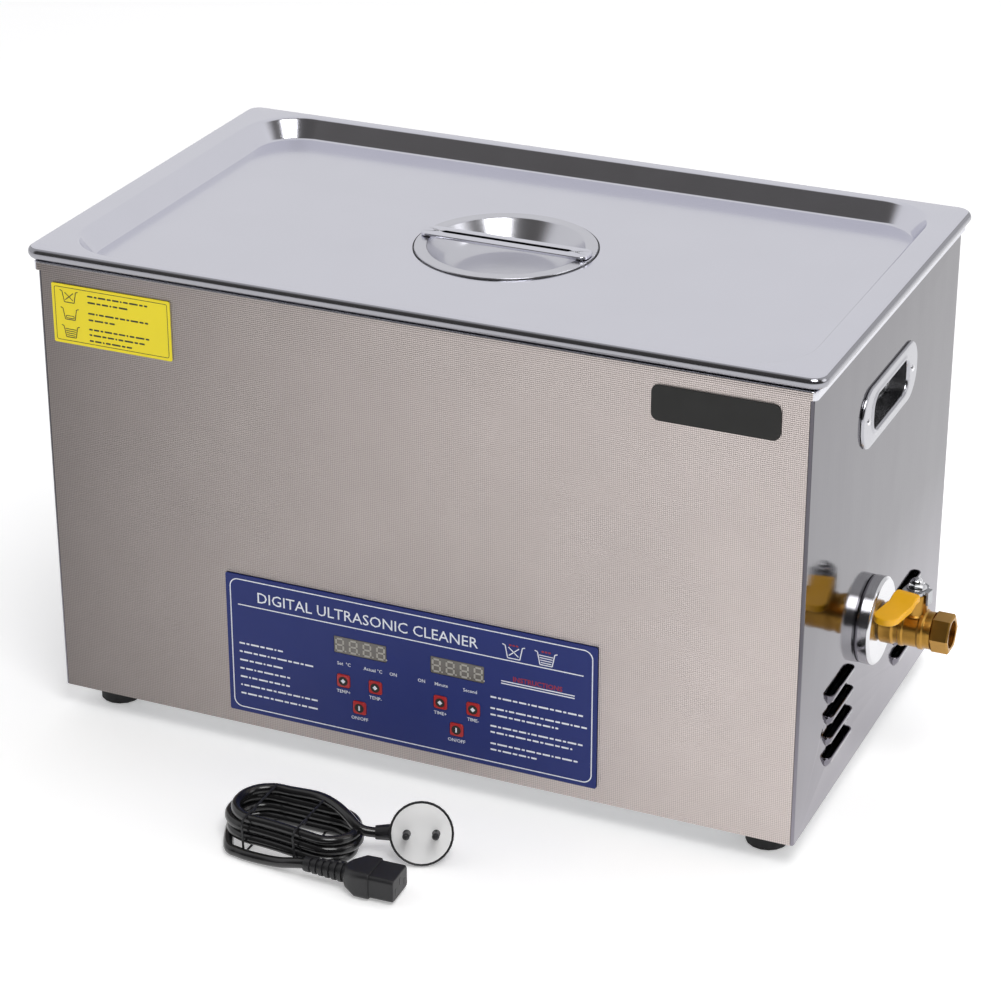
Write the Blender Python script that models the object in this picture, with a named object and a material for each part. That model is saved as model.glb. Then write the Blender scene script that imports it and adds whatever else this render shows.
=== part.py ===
"""Bench-top ultrasonic cleaner of the thirty litre class, modelled as separate pieces.

Units are metres and +Z is up.  Z is measured from the surface the rubber feet stand on.
X (right) and Y (back) are measured from the middle of the casing; every piece hangs on one
empty, BODY_CENTRE, that shifts the casing so that the frame's origin is under the middle of
the whole object.  The unplugged mains lead lies on the same surface in front of the casing.
"""
import math

import bmesh
import bpy
from mathutils import Matrix, Vector

# ---------------------------------------------------------------- driving dimensions
GAP = 0.0003                  # clearance between two pieces that touch
SHEET = 0.0012                # stainless sheet of the casing and the tank
ARC_STEPS = 5                 # points on a quarter turn of a rounded outline
ROUND_SIDES = 24              # sides of a turned piece
SMOOTH_ANGLE = math.radians(35)

TANK_LENGTH = 0.500           # inside, the nominal size of the tank
TANK_WIDTH = 0.300
TANK_DEPTH = 0.200
TANK_CORNER = 0.040
TANK_FLOOR_FILLET = 0.012
TANK_RIM_FILLET = 0.006
RIM_PROUD = 0.0025            # rim's skirt beyond the casing
RIM_DROP = 0.006
RIM_CORNER = 0.004
RIM_EDGE = 0.0008

CASING_MARGIN_X = 0.019       # tank's inner wall to the casing's side
CASING_MARGIN_Y = 0.0085
CASING_UNDER = 0.118          # space for the electrics below the tank's floor
CORNER_BEND = 0.002           # outer bend radius of the casing's upright corners
FOOT_HEIGHT = 0.018
FOOT_RADIUS = 0.0145
FOOT_INSET_X = 0.027          # foot centre in from the casing's side
FOOT_INSET_Y = 0.0295
FOOT_HOLE = 0.0045            # screw recess in a foot's underside
FOOT_RECESS = 0.006
BASE_FLANGE = 0.012
BASE_CORNER = 0.0015
BASE_VENT_LENGTH = 0.050
BASE_VENT_WIDTH = 0.005
BASE_VENT_PITCH = 0.080
BASE_VENT_Y = 0.110

LID_OVERHANG_X = 0.0082       # lid beyond the casing on each side
LID_OVERHANG_Y = 0.004
LID_SHIFT = -0.001             # the loose lid sits this far off the middle, to the left
LID_SHEET = 0.001
LID_EDGE = 0.0087             # height of the rolled edge
LID_CORNER = 0.011
LID_MARGIN_X = 0.0205         # rolled edge's outside to the top of the recess wall
LID_MARGIN_Y = 0.0095
RECESS_DEPTH = 0.014
RECESS_RUN = 0.0095           # how far the recess wall leans inwards
RECESS_CORNER = 0.040
LID_TRAVEL = 0.250            # how far the lid is lifted off

DISH_RING_RADIUS = 0.062
DISH_BOWL_RADIUS = 0.054
DISH_FLOOR_RADIUS = 0.036
DISH_DEPTH = 0.018
BAR_LENGTH = 0.122
BAR_WIDTH = 0.017
BAR_THICKNESS = 0.0025
BAR_SOFT_EDGE = 0.0006
BAR_SLOT_LENGTH = 0.092
BAR_SLOT_WIDTH = 0.0032

PANEL_WIDTH = 0.270           # printed control panel
PANEL_HEIGHT = 0.1045
PANEL_CENTRE_X = -0.002
PANEL_BOTTOM = 0.0105         # above the casing's underside
PANEL_CORNER = 0.0012
OVERLAY = 0.0008
DISPLAY_WIDTH = 0.039
DISPLAY_HEIGHT = 0.0128
DISPLAY_X = (-0.0371, 0.0338)
DISPLAY_Z = 0.0777
DISPLAY_CORNER = 0.0006
KEY_SIZE = 0.0104
KEY_CORNER = 0.0016
KEY_PROUD = 0.0006
KEY_STEM_RADIUS = 0.0016
KEY_STEM = 0.0042
KEYS = (                      # name, X, height above the casing's underside
    ("key_temp_up", -0.0500, 0.0507),
    ("key_temp_down", -0.0263, 0.0508),
    ("key_heat", -0.0384, 0.0326),
    ("key_time_up", 0.0214, 0.0503),
    ("key_time_down", 0.0452, 0.0504),
    ("key_ultrasound", 0.0331, 0.0322),
)
KEY_TRAVEL = 0.0004
WINDOW_MARGIN = 0.006         # opening in the front sheet, beyond the keys and displays
FOIL = 0.0004                 # adhesive label

LABEL_SIZE = (0.089, 0.042)
LABEL_CORNER = 0.0012
LABEL_INSET = (0.0545, 0.0348) # label's middle from the casing's left side and from its top
STICKER_SIZE = (0.0838, 0.024)
STICKER_INSET = (0.0619, 0.0250)
STICKER_CORNER = 0.005

HANDLE_LENGTH = 0.118
HANDLE_HEIGHT = 0.042
HANDLE_CORNER = 0.019
HANDLE_DOWN = 0.0655           # middle of the handle below the rim's top
POCKET_LENGTH = 0.074
POCKET_HEIGHT = 0.0235
POCKET_CORNER = 0.009
POCKET_DEPTH = 0.012
HANDLE_PROUD = 0.0028
HANDLE_FACE = 0.75             # plate's height as a share of the lip's
HANDLE_EDGE = 0.0008
HANDLE_LIP = 0.0046            # width of the raised lip round the pocket

LOUVRE_LENGTH = 0.048
LOUVRE_HEIGHT = 0.0085
LOUVRE_PROUD = 0.0042
LOUVRE_COLUMNS = (-0.076, 0.074)
LOUVRE_TOPS = (0.080, 0.0645, 0.049, 0.0335)

VALVE_Y = -0.017
VALVE_Z = 0.097
FLANGE_RADIUS = 0.0302
FLANGE_THICKNESS = 0.0098
PIPE_RADIUS = 0.0095
PIPE_BORE = 0.0070
ELBOW_RADIUS = 0.0125
FLANGE_EDGE = 0.0010
DRAIN_INSET = 0.028            # drain hole in from the tank's right wall
VALVE_LENGTH = 0.0475
VALVE_RADIUS = 0.0130
VALVE_HEX = 0.0130            # across flats, halved
VALVE_BORE = 0.0095           # threaded outlet
VALVE_BORE_IN = 0.0085
THREAD_DEPTH = 0.0120
VALVE_CHAMFER = 0.0010
VALVE_WAIST = 0.0004
VALVE_BAND = 0.0007            # height of the two raised bands
BAND_PLACES = (0.0140, 0.0290) # outer edges of the bands, along the body
BAND_WIDTH = 0.0025
INLET_HEX_LENGTH = 0.0095
OUTLET_HEX_LENGTH = 0.0125
INLET_THREAD = 0.0080
BALL_RADIUS = 0.0093
BALL_FLAT = 0.0006
BALL_BORE = 0.0060
STEM_X = 0.0215               # stem axis from the flange's outer face
STEM_RADIUS = 0.0032
BOSS_RADIUS = 0.0080
BOSS_TOP = 0.0270             # above the valve's axis
LEVER_LENGTH = 0.0500
LEVER_WIDTH = 0.0170
LEVER_THICKNESS = 0.0022
LEVER_YAW = math.radians(10)
LEVER_DROP = 0.0030
LEVER_ROOT = 0.0072           # half widths of the steel strip
LEVER_CORE = 0.0050
LEVER_BEND = 0.0170            # where the lever steps down
LEVER_BEND_RUN = 0.0060
LEVER_TAB = (0.0086, 0.0102)   # the stop tab beside the boss
LEVER_TAB_DROP = 0.0075
LEVER_TAB_HALF = 0.0035
SLEEVE_START = 0.0105
SLEEVE_WALL = 0.0013
NUT_RADIUS = 0.0052
NUT_HEIGHT = 0.0042
STEM_PROUD = 0.0022

TRANSDUCER_RADIUS = 0.0295
TRANSDUCER_HEIGHT = 0.066
TRANSDUCER_COLUMNS = 5
TRANSDUCER_PITCH = 0.088
TRANSDUCER_ROW_Y = 0.065
TRANSDUCER_NECK = 0.0225
TRANSDUCER_BOLT = 0.008
HEATER_INSET = 0.070           # heating pad's end in from the tank's end
HEATER_HEIGHT = 0.090
HEATER_THICKNESS = 0.0025
HEATER_UP = 0.075             # middle of the pad above the tank's floor

BOARD_CENTRE = (-0.060, -0.020, 0.0300)
BOARD_SIZE = (0.200, 0.110)
BOARD_THICKNESS = 0.0016
HEAT_SINK_X = -0.050           # from the board's middle
HEAT_SINK_WIDTH = 0.060
HEAT_SINK_LENGTH = 0.090
HEAT_SINK_HEIGHT = 0.034
HEAT_SINK_BASE = 0.006
HEAT_SINK_FIN = 0.006
HEAT_SINK_FINS = 6
CAPACITORS = (                # place on the board, radius and height
    (0.030, -0.030, 0.011, 0.030),
    (0.030, 0.000, 0.011, 0.030),
    (0.030, 0.030, 0.011, 0.030),
    (0.065, -0.022, 0.014, 0.022),
)
TRANSFORMER_PLACE = (0.150, -0.060, 0.0215)
TRANSFORMER_RADIUS = 0.043
TRANSFORMER_BORE = 0.014
TRANSFORMER_HEIGHT = 0.036
TRANSFORMER_ROUND = 0.005
DISPLAY_BOARD_GAP = 0.0043     # board behind the front sheet
DISPLAY_BOARD_THICKNESS = 0.0016

FAN_SIZE = 0.080
FAN_DEPTH = 0.025
FAN_INSET = 0.118              # fan's middle in from the casing's side
FAN_Z = 0.084
FAN_DUCT = 0.0375
FAN_STRUT = 0.004
FAN_STRUT_DEPTH = 0.003
FAN_CLEAR = 0.001              # rotor to the struts
FAN_HUB = 0.018
FAN_TIP = 0.0355
FAN_BLADES = 7
FAN_BLADE_WIDTH = 0.021
FAN_BLADE_THICKNESS = 0.0012
FAN_BLADE_PITCH = math.radians(35)
GUARD_WIRE = 0.0018
GUARD_RINGS = (0.012, 0.024, 0.036)
GUARD_REACH = 0.048
REAR_PROUD = 0.0022           # inlet and switch faces beyond the rear sheet
INLET_INSET = 0.118
INLET_Z = 0.058
INLET_WIDTH = 0.0315          # appliance inlet's outer face
INLET_HEIGHT = 0.0245
INLET_BODY_WIDTH = 0.0275
INLET_BODY_HEIGHT = 0.0200
SOCKET_WIDTH = 0.0246         # the cavity the lead's connector goes in
SOCKET_HEIGHT = 0.0170
SOCKET_DEPTH = 0.016
CONTACTS = ((-0.0070, -0.0018), (0.0, 0.0022), (0.0070, -0.0018))   # places of the three contacts
BLADE_HALF = (0.0010, 0.0020)  # half width and height of a blade
BLADE_INSET = 0.0030           # blade's tip behind the inlet's face
INLET_BACK = 0.0040            # shell behind the cavity
SHELL_CORNER = 0.0010          # corners of the snap-in shells
FLANGE_CORNER = 0.0020
FLANGE_EASE = 0.0004
SWITCH_INSET = 0.068
SWITCH_WIDTH = 0.0310
SWITCH_HEIGHT = 0.0225
SWITCH_BODY_WIDTH = 0.0275
SWITCH_BODY_HEIGHT = 0.0195
SWITCH_DEPTH = 0.0135
ROCKER_LENGTH = 0.0230
ROCKER_HEIGHT = 0.0165
ROCKER_AXIS_DEPTH = 0.0040
ROCKER_CLEAR = 0.0010
ROCKER_RISE = 0.0038           # rocker's end above its axis
ROCKER_DIP = 0.0030
ROCKER_UNDER = (0.0040, 0.0062)   # underside below the axis, at its ends and its middle
SWITCH_BACK = 0.0020
ROCKER_SWING = math.radians(12)

CABLE_DIAMETER = 0.007
HANK_CENTRE = (-0.0415, -0.2560)
HANK_STRAIGHT = 0.046
HANK_END_RADIUS = 0.028
HANK_HEIGHT = 0.0255
PLUG_CENTRE = (0.0461, -0.2432)       # middle of the plug's face
PLUG_RADIUS = 0.0214
PLUG_BACK_RADIUS = 0.0110
PLUG_DEPTH = 0.0215
PLUG_FACE_INSET = 0.0012
PLUG_TILT = math.radians(25.5)        # how far the face looks up
PLUG_TURN = math.radians(23.7)
PIN_SPACING = 0.019
PIN_RADIUS = 0.0024
PIN_LENGTH = 0.019
PLUG_RIM = 0.0016
PLUG_CLEAR = 0.0008                   # plug above the surface it lies on
PLUG_BOSS_BACK = 0.0090               # outlet's axis behind the face
BOSS_START = 0.0100
BOSS_REACH = 0.0300                   # plug's cable outlet, from its axis
BOSS_RADII = (0.0064, 0.0046)
CONNECTOR_REAR = (-0.0140, -0.2905)   # thin end of the strain relief
CONNECTOR_FRONT = (0.0520, -0.2880)
CONNECTOR_WIDTH = 0.0240
CONNECTOR_HEIGHT = 0.0162
CONNECTOR_BODY = 0.0360
CONNECTOR_NOSE = 0.0170               # the part that goes into the inlet
CONNECTOR_STEP = 0.0012
SLOT_HALF = (0.0012, 0.0024)           # half width and height of a contact slot
SLOT_DEPTH = 0.0140
CONNECTOR_RELIEF_RADII = (0.0046, 0.0064)
CONNECTOR_ROUTE = ((-0.0145, -0.2905, 0.0096), (-0.0170, -0.2906, 0.0094), (-0.0245, -0.2906, 0.0078),
                   (-0.0320, -0.2900, 0.0058), (-0.0420, -0.2890, 0.0043), (-0.0540, -0.2884, 0.0039))
PLUG_ROUTE = ((0.0146, -0.2482, 0.0163), (0.0124, -0.2491, 0.0166), (0.0100, -0.2501, 0.0171))

# ---------------------------------------------------------------- derived places
BODY_WIDTH = TANK_LENGTH + 2 * CASING_MARGIN_X
BODY_DEPTH = TANK_WIDTH + 2 * CASING_MARGIN_Y
BODY_HEIGHT = TANK_DEPTH + CASING_UNDER
LID_LENGTH = BODY_WIDTH + 2 * LID_OVERHANG_X
LID_WIDTH = BODY_DEPTH + 2 * LID_OVERHANG_Y
BASE_Z = FOOT_HEIGHT
RIM_TOP_Z = BASE_Z + BODY_HEIGHT
PANEL_TOP_Z = RIM_TOP_Z - SHEET - GAP
LID_BOTTOM_Z = RIM_TOP_Z + GAP
LID_TOP_Z = LID_BOTTOM_Z + LID_EDGE
RECESS_Z = LID_TOP_Z - RECESS_DEPTH
TANK_FLOOR_Z = RIM_TOP_Z - TANK_DEPTH
TANK_BELOW_Z = TANK_FLOOR_Z - SHEET
SIDE_X = BODY_WIDTH / 2
FACE_Y = BODY_DEPTH / 2
INNER_X = SIDE_X - SHEET
INNER_Y = FACE_Y - SHEET
LABEL_CENTRE = (LABEL_INSET[0] - SIDE_X, BODY_HEIGHT - LABEL_INSET[1])
STICKER_CENTRE = (SIDE_X - STICKER_INSET[0], BODY_HEIGHT - STICKER_INSET[1])
HANDLE_Z = BODY_HEIGHT - HANDLE_DOWN
DRAIN_X = TANK_LENGTH / 2 - DRAIN_INSET
HEATER_LENGTH = TANK_LENGTH - 2 * HEATER_INSET
DISPLAY_BOARD_Y = INNER_Y - DISPLAY_BOARD_GAP - DISPLAY_BOARD_THICKNESS
FAN_X = FAN_INSET - SIDE_X
INLET_X = SIDE_X - INLET_INSET
SWITCH_X = SIDE_X - SWITCH_INSET
FLANGE_X = SIDE_X + GAP
VALVE_START_X = FLANGE_X + FLANGE_THICKNESS + GAP
VALVE_END_X = VALVE_START_X + VALVE_LENGTH
RIGHT_REACH = max(VALVE_END_X, LID_LENGTH / 2 + LID_SHIFT)
LEFT_REACH = max(LID_LENGTH / 2 - LID_SHIFT, SIDE_X + LOUVRE_PROUD)
BODY_X = -(RIGHT_REACH - LEFT_REACH) / 2
OVERLAY_BACK_Y = -FACE_Y - GAP
OVERLAY_FRONT_Y = OVERLAY_BACK_Y - OVERLAY


# ---------------------------------------------------------------- modelling tools
def make_material(name, colour, roughness, metallic):
    """A Principled material with one colour."""
    material = bpy.data.materials.new(name)
    material.use_nodes = True
    shader = material.node_tree.nodes["Principled BSDF"]
    shader.inputs["Base Color"].default_value = (*colour, 1.0)
    shader.inputs["Roughness"].default_value = roughness
    shader.inputs["Metallic"].default_value = metallic
    return material


def rounded_rectangle(half_x, half_y, radius, steps=ARC_STEPS):
    """Outline of a rectangle with round corners, anticlockwise about the origin."""
    points = []
    for quarter, (sign_x, sign_y) in enumerate(((1, 1), (-1, 1), (-1, -1), (1, -1))):
        for step in range(steps + 1):
            angle = (quarter + step / steps) * math.pi / 2
            points.append((sign_x * (half_x - radius) + radius * math.cos(angle),
                           sign_y * (half_y - radius) + radius * math.sin(angle)))
    return points


def circle(radius, steps=ROUND_SIDES, start=0.0):
    """Points on a circle about the origin."""
    return [(radius * math.cos(start + 2 * math.pi * i / steps),
             radius * math.sin(start + 2 * math.pi * i / steps)) for i in range(steps)]


def arc(centre, radius, start, end, steps):
    """Points from one angle to another, in degrees, with both ends."""
    angles = [math.radians(start + (end - start) * i / steps) for i in range(steps + 1)]
    return [(centre[0] + radius * math.cos(a), centre[1] + radius * math.sin(a)) for a in angles]


def on_xy(points, z):
    """A flat outline at height z."""
    return [Vector((x, y, z)) for x, y in points]


def on_xz(points, y, centre=(0.0, 0.0)):
    """An upright outline facing front or back."""
    return [Vector((centre[0] + x, y, centre[1] + z)) for x, z in points]


def on_yz(points, x, centre=(0.0, 0.0)):
    """An upright outline facing left or right."""
    return [Vector((x, centre[0] + y, centre[1] + z)) for y, z in points]


def loft_mesh(loops, closed=False):
    """Skin a row of equal loops.  An open row gets an end face at each end."""
    mesh = bmesh.new()
    rings = [[mesh.verts.new(point) for point in loop] for loop in loops]
    pairs = list(zip(rings, rings[1:]))
    if closed:
        pairs.append((rings[-1], rings[0]))
    for first, second in pairs:
        count = len(first)
        for i in range(count):
            j = (i + 1) % count
            mesh.faces.new((first[i], first[j], second[j], second[i]))
    if not closed:
        mesh.faces.new(rings[0])
        mesh.faces.new(rings[-1])
    return mesh


def turned_mesh(profile, axis, steps=ROUND_SIDES):
    """Spin a profile of (distance along the axis, radius) about a world axis."""
    mesh = bmesh.new()
    side = Vector((0, 0, 1)) if axis != "Z" else Vector((1, 0, 0))
    along = {"X": Vector((1, 0, 0)), "Y": Vector((0, 1, 0)), "Z": Vector((0, 0, 1))}[axis]
    verts = [mesh.verts.new(along * distance + side * radius) for distance, radius in profile]
    edges = [mesh.edges.new(pair) for pair in zip(verts, verts[1:])]
    if min(radius for _, radius in profile) > 0:
        edges.append(mesh.edges.new((verts[-1], verts[0])))
    bmesh.ops.spin(mesh, geom=verts + edges, cent=(0, 0, 0), axis=along, dvec=(0, 0, 0),
                   angle=2 * math.pi, steps=steps, use_merge=True)
    bmesh.ops.remove_doubles(mesh, verts=mesh.verts, dist=1e-6)
    return mesh


def place(name, mesh, material=None, location=(0, 0, 0), parent=None):
    """Turn a bmesh into an object hung on the casing's empty or on a joint's empty."""
    bmesh.ops.recalc_face_normals(mesh, faces=mesh.faces)
    data = bpy.data.meshes.new(name)
    mesh.to_mesh(data)
    mesh.free()
    data.shade_smooth()
    data.set_sharp_from_angle(angle=SMOOTH_ANGLE)
    piece = bpy.data.objects.new(name, data)
    bpy.context.scene.collection.objects.link(piece)
    if material is not None:
        data.materials.append(material)
    piece.location = location
    piece.parent = parent or body_centre
    return piece


def tool(mesh, location=(0, 0, 0), parent=None):
    """A shape that only cuts or adds to others."""
    piece = place("tool", mesh, None, location, parent)
    piece.hide_render = True
    piece.display_type = "WIRE"
    return piece


def combine(piece, other, operation):
    """Cut a tool's shape from a piece, or join it on."""
    step = piece.modifiers.new(operation.lower(), "BOOLEAN")
    step.operation = operation
    step.object = other
    step.solver = "EXACT"


def block_mesh(low, high):
    """A box between two corners."""
    mesh = bmesh.new()
    size = Vector(high) - Vector(low)
    middle = (Vector(high) + Vector(low)) / 2
    bmesh.ops.create_cube(mesh, size=1.0, matrix=Matrix.Translation(middle) @ Matrix.Diagonal((*size, 1)))
    return mesh


def rod_mesh(radius, low, high, axis, centre=(0.0, 0.0), steps=ROUND_SIDES):
    """A round rod along an axis; centre holds the other two coordinates in X, Y, Z order."""
    outline = circle(radius, steps)
    if axis == "X":
        return loft_mesh([on_yz(outline, low, centre), on_yz(outline, high, centre)])
    if axis == "Y":
        return loft_mesh([on_xz(outline, low, centre), on_xz(outline, high, centre)])
    moved = [(x + centre[0], y + centre[1]) for x, y in outline]
    return loft_mesh([on_xy(moved, low), on_xy(moved, high)])


def prism_xz(outline, back, front, centre=(0.0, 0.0)):
    """An outline facing the front, given its thickness along Y."""
    return loft_mesh([on_xz(outline, back, centre), on_xz(outline, front, centre)])


def empty(name, location, turn=(0, 0, 0), parent=None):
    """A parent with its origin on a joint's axis."""
    axis = bpy.data.objects.new(name, None)
    bpy.context.scene.collection.objects.link(axis)
    axis.location = location
    axis.rotation_euler = turn
    axis.parent = parent or body_centre
    return axis


# ---------------------------------------------------------------- scene and finishes
for old in list(bpy.data.objects):
    bpy.data.objects.remove(old)

body_centre = bpy.data.objects.new("BODY_CENTRE", None)
body_centre.location = (BODY_X, 0, 0)
bpy.context.scene.collection.objects.link(body_centre)

EMBOSSED = make_material("embossed_steel", (0.40, 0.37, 0.345), 0.38, 1.0)
POLISHED = make_material("polished_steel", (0.62, 0.60, 0.63), 0.10, 1.0)
PRESSED = make_material("pressed_steel", (0.70, 0.70, 0.72), 0.18, 1.0)
ZINC = make_material("zinc_plated_steel", (0.55, 0.56, 0.58), 0.35, 1.0)
RUBBER = make_material("black_rubber", (0.02, 0.02, 0.02), 0.75, 0.0)
PRINT = make_material("blue_overlay", (0.024, 0.042, 0.19), 0.32, 0.0)
KEY_RED = make_material("red_key", (0.52, 0.012, 0.018), 0.35, 0.0)
SMOKE = make_material("display_window", (0.05, 0.07, 0.16), 0.08, 0.0)
YELLOW_FOIL = make_material("yellow_foil", (0.80, 0.63, 0.03), 0.45, 0.0)
BLACK_FOIL = make_material("black_foil", (0.03, 0.027, 0.025), 0.4, 0.0)
BRASS = make_material("brass", (0.50, 0.32, 0.10), 0.28, 1.0)
CHROME = make_material("chrome", (0.80, 0.80, 0.82), 0.06, 1.0)
VINYL = make_material("yellow_vinyl", (0.90, 0.42, 0.01), 0.38, 0.0)
BLACK_PLASTIC = make_material("black_plastic", (0.016, 0.016, 0.018), 0.42, 0.0)
CORD_PLASTIC = make_material("cord_pvc", (0.015, 0.015, 0.017), 0.30, 0.0)
WHITE_PLASTIC = make_material("white_plastic", (0.85, 0.85, 0.85), 0.40, 0.0)
GREEN_BOARD = make_material("circuit_board", (0.02, 0.16, 0.06), 0.45, 0.0)
COPPER = make_material("copper_winding", (0.55, 0.22, 0.08), 0.40, 1.0)
CERAMIC = make_material("transducer_metal", (0.62, 0.62, 0.64), 0.35, 1.0)
SILICONE = make_material("heater_silicone", (0.45, 0.10, 0.03), 0.60, 0.0)


# ---------------------------------------------------------------- casing
def side_outline(side):
    """Plan of a side sheet whose front and back edges are bent round the corners."""
    bend_x = SIDE_X - CORNER_BEND
    bend_y = FACE_Y - CORNER_BEND
    inside = CORNER_BEND - SHEET
    outer = arc((bend_x, bend_y), CORNER_BEND, 90, 0, 3) + arc((bend_x, -bend_y), CORNER_BEND, 0, -90, 3)
    inner = arc((bend_x, -bend_y), inside, -90, 0, 3) + arc((bend_x, bend_y), inside, 0, 90, 3)
    return [(side * x, y) for x, y in outer + inner]


def louvre_section(side, y, scale, wall):
    """One slice of a louvre's hood, or of the space under it when wall is given."""
    outer = ((-0.0002, -LOUVRE_HEIGHT), (0.45 * LOUVRE_PROUD, -0.80 * LOUVRE_HEIGHT),
             (0.82 * LOUVRE_PROUD, -0.50 * LOUVRE_HEIGHT), (LOUVRE_PROUD, -0.12 * LOUVRE_HEIGHT),
             (0.94 * LOUVRE_PROUD, 0.0), (-0.0002, 0.0))
    points = []
    for x, z in outer:
        if wall:
            x = x - wall if x > 0 else -2 * SHEET
            z = z + wall if z < 0 else wall
        points.append((side * (SIDE_X + (x * scale if x > 0 else x)), y, z * scale))
    return points


def louvre(side, y, top_z, wall):
    """A hood that opens upwards, closed in with round ends."""
    half = LOUVRE_LENGTH / 2 - wall
    loops = []
    for share, scale in ((-1.0, 0.35), (-0.95, 0.75), (-0.86, 1.0), (0.86, 1.0), (0.95, 0.75), (1.0, 0.35)):
        section = louvre_section(side, y + share * half, scale, wall)
        loops.append([Vector((px, py, top_z + pz)) for px, py, pz in section])
    return loft_mesh(loops)


def build_side(side, name):
    """A side sheet with its louvres, its handle hole and, on the right, its drain hole."""
    outline = side_outline(side)
    panel = place(name, loft_mesh([on_xy(outline, BASE_Z), on_xy(outline, PANEL_TOP_Z)]), POLISHED)
    for column in LOUVRE_COLUMNS:
        for top in LOUVRE_TOPS:
            combine(panel, tool(louvre(side, column, BASE_Z + top, 0)), "UNION")
            combine(panel, tool(louvre(side, column, BASE_Z + top, 0.0009)), "DIFFERENCE")
    hole = rounded_rectangle(POCKET_LENGTH / 2 + SHEET + GAP, POCKET_HEIGHT / 2 + SHEET + GAP,
                             POCKET_CORNER + SHEET + GAP)
    centre = (0, BASE_Z + HANDLE_Z)
    through = [on_yz(hole, side * x, centre) for x in (INNER_X - SHEET, SIDE_X + SHEET)]
    combine(panel, tool(loft_mesh(through)), "DIFFERENCE")
    if side > 0:
        drain = rod_mesh(PIPE_RADIUS + 2 * GAP, INNER_X - SHEET, SIDE_X + SHEET, "X",
                         (VALVE_Y, BASE_Z + VALVE_Z))
        combine(panel, tool(drain), "DIFFERENCE")
    return panel


def build_front():
    """The embossed front sheet, with a window behind the keys and displays."""
    half = SIDE_X - CORNER_BEND - GAP
    flat = block_mesh((-half, -FACE_Y, BASE_Z), (half, -INNER_Y, PANEL_TOP_Z))
    sheet = place("front_panel", flat, EMBOSSED)
    lefts = [x - DISPLAY_WIDTH / 2 for x in DISPLAY_X] + [x - KEY_SIZE / 2 for _, x, _ in KEYS]
    rights = [x + DISPLAY_WIDTH / 2 for x in DISPLAY_X] + [x + KEY_SIZE / 2 for _, x, _ in KEYS]
    low = min(z for _, _, z in KEYS) - KEY_SIZE / 2 - WINDOW_MARGIN
    high = DISPLAY_Z + DISPLAY_HEIGHT / 2 + WINDOW_MARGIN
    window = block_mesh((min(lefts) - WINDOW_MARGIN, -FACE_Y - SHEET, BASE_Z + low),
                        (max(rights) + WINDOW_MARGIN, -INNER_Y + SHEET, BASE_Z + high))
    combine(sheet, tool(window), "DIFFERENCE")


def build_rear():
    """The rear sheet, with holes for the fan, the appliance inlet and the power switch."""
    half = SIDE_X - CORNER_BEND - GAP
    flat = block_mesh((-half, INNER_Y, BASE_Z), (half, FACE_Y, PANEL_TOP_Z))
    sheet = place("rear_panel", flat, EMBOSSED)
    fan_hole = rod_mesh(FAN_SIZE / 2 - 0.002, INNER_Y - SHEET, FACE_Y + SHEET, "Y", (FAN_X, FAN_Z))
    combine(sheet, tool(fan_hole), "DIFFERENCE")
    for x, z, width, height in ((INLET_X, INLET_Z, INLET_BODY_WIDTH, INLET_BODY_HEIGHT),
                                (SWITCH_X, INLET_Z, SWITCH_BODY_WIDTH, SWITCH_BODY_HEIGHT)):
        hole = block_mesh((x - width / 2 - GAP, INNER_Y - SHEET, z - height / 2 - GAP),
                          (x + width / 2 + GAP, FACE_Y + SHEET, z + height / 2 + GAP))
        combine(sheet, tool(hole), "DIFFERENCE")


def build_base():
    """The base: a shallow pan inside the four sheets, with vents and four rubber feet."""
    half_x, half_y = INNER_X - GAP, INNER_Y - GAP
    outer = rounded_rectangle(half_x, half_y, BASE_CORNER, 2)
    inner = rounded_rectangle(half_x - SHEET, half_y - SHEET, BASE_CORNER / 2, 2)
    pan = loft_mesh([on_xy(outer, BASE_Z), on_xy(outer, BASE_Z + BASE_FLANGE),
                     on_xy(inner, BASE_Z + BASE_FLANGE), on_xy(inner, BASE_Z + SHEET)])
    base = place("base_plate", pan, ZINC)
    for row in (-1, 1):
        for column in range(-2, 3):
            x, y = column * BASE_VENT_PITCH, row * BASE_VENT_Y
            slot = block_mesh((x - BASE_VENT_LENGTH / 2, y - BASE_VENT_WIDTH / 2, BASE_Z - SHEET),
                              (x + BASE_VENT_LENGTH / 2, y + BASE_VENT_WIDTH / 2, BASE_Z + 2 * SHEET))
            combine(base, tool(slot), "DIFFERENCE")
    top = FOOT_HEIGHT - GAP
    profile = [(FOOT_RECESS, 0.0), (FOOT_RECESS, FOOT_HOLE), (0.0, FOOT_HOLE), (0.0, FOOT_RADIUS - 0.0006),
               (0.0008, FOOT_RADIUS), (top, FOOT_RADIUS - 0.0012), (top, 0.0)]
    for name, sign_x, sign_y in (("foot_front_left", -1, -1), ("foot_front_right", 1, -1),
                                 ("foot_rear_left", -1, 1), ("foot_rear_right", 1, 1)):
        stand = (sign_x * (SIDE_X - FOOT_INSET_X), sign_y * (FACE_Y - FOOT_INSET_Y), 0)
        place(name, turned_mesh(profile, "Z", 16), RUBBER, stand)


# ---------------------------------------------------------------- tank and what is fixed to it
def tank_loop(offset, z):
    """The tank's plan outline moved outwards by an offset."""
    half_x, half_y = TANK_LENGTH / 2 + offset, TANK_WIDTH / 2 + offset
    return on_xy(rounded_rectangle(half_x, half_y, TANK_CORNER + offset), z)


def rim_loop(inset, z):
    """The rim's plan outline moved inwards by an inset."""
    return on_xy(rounded_rectangle(SIDE_X + RIM_PROUD - inset, FACE_Y + RIM_PROUD - inset,
                                   max(RIM_CORNER - inset, 0.001)), z)


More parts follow.
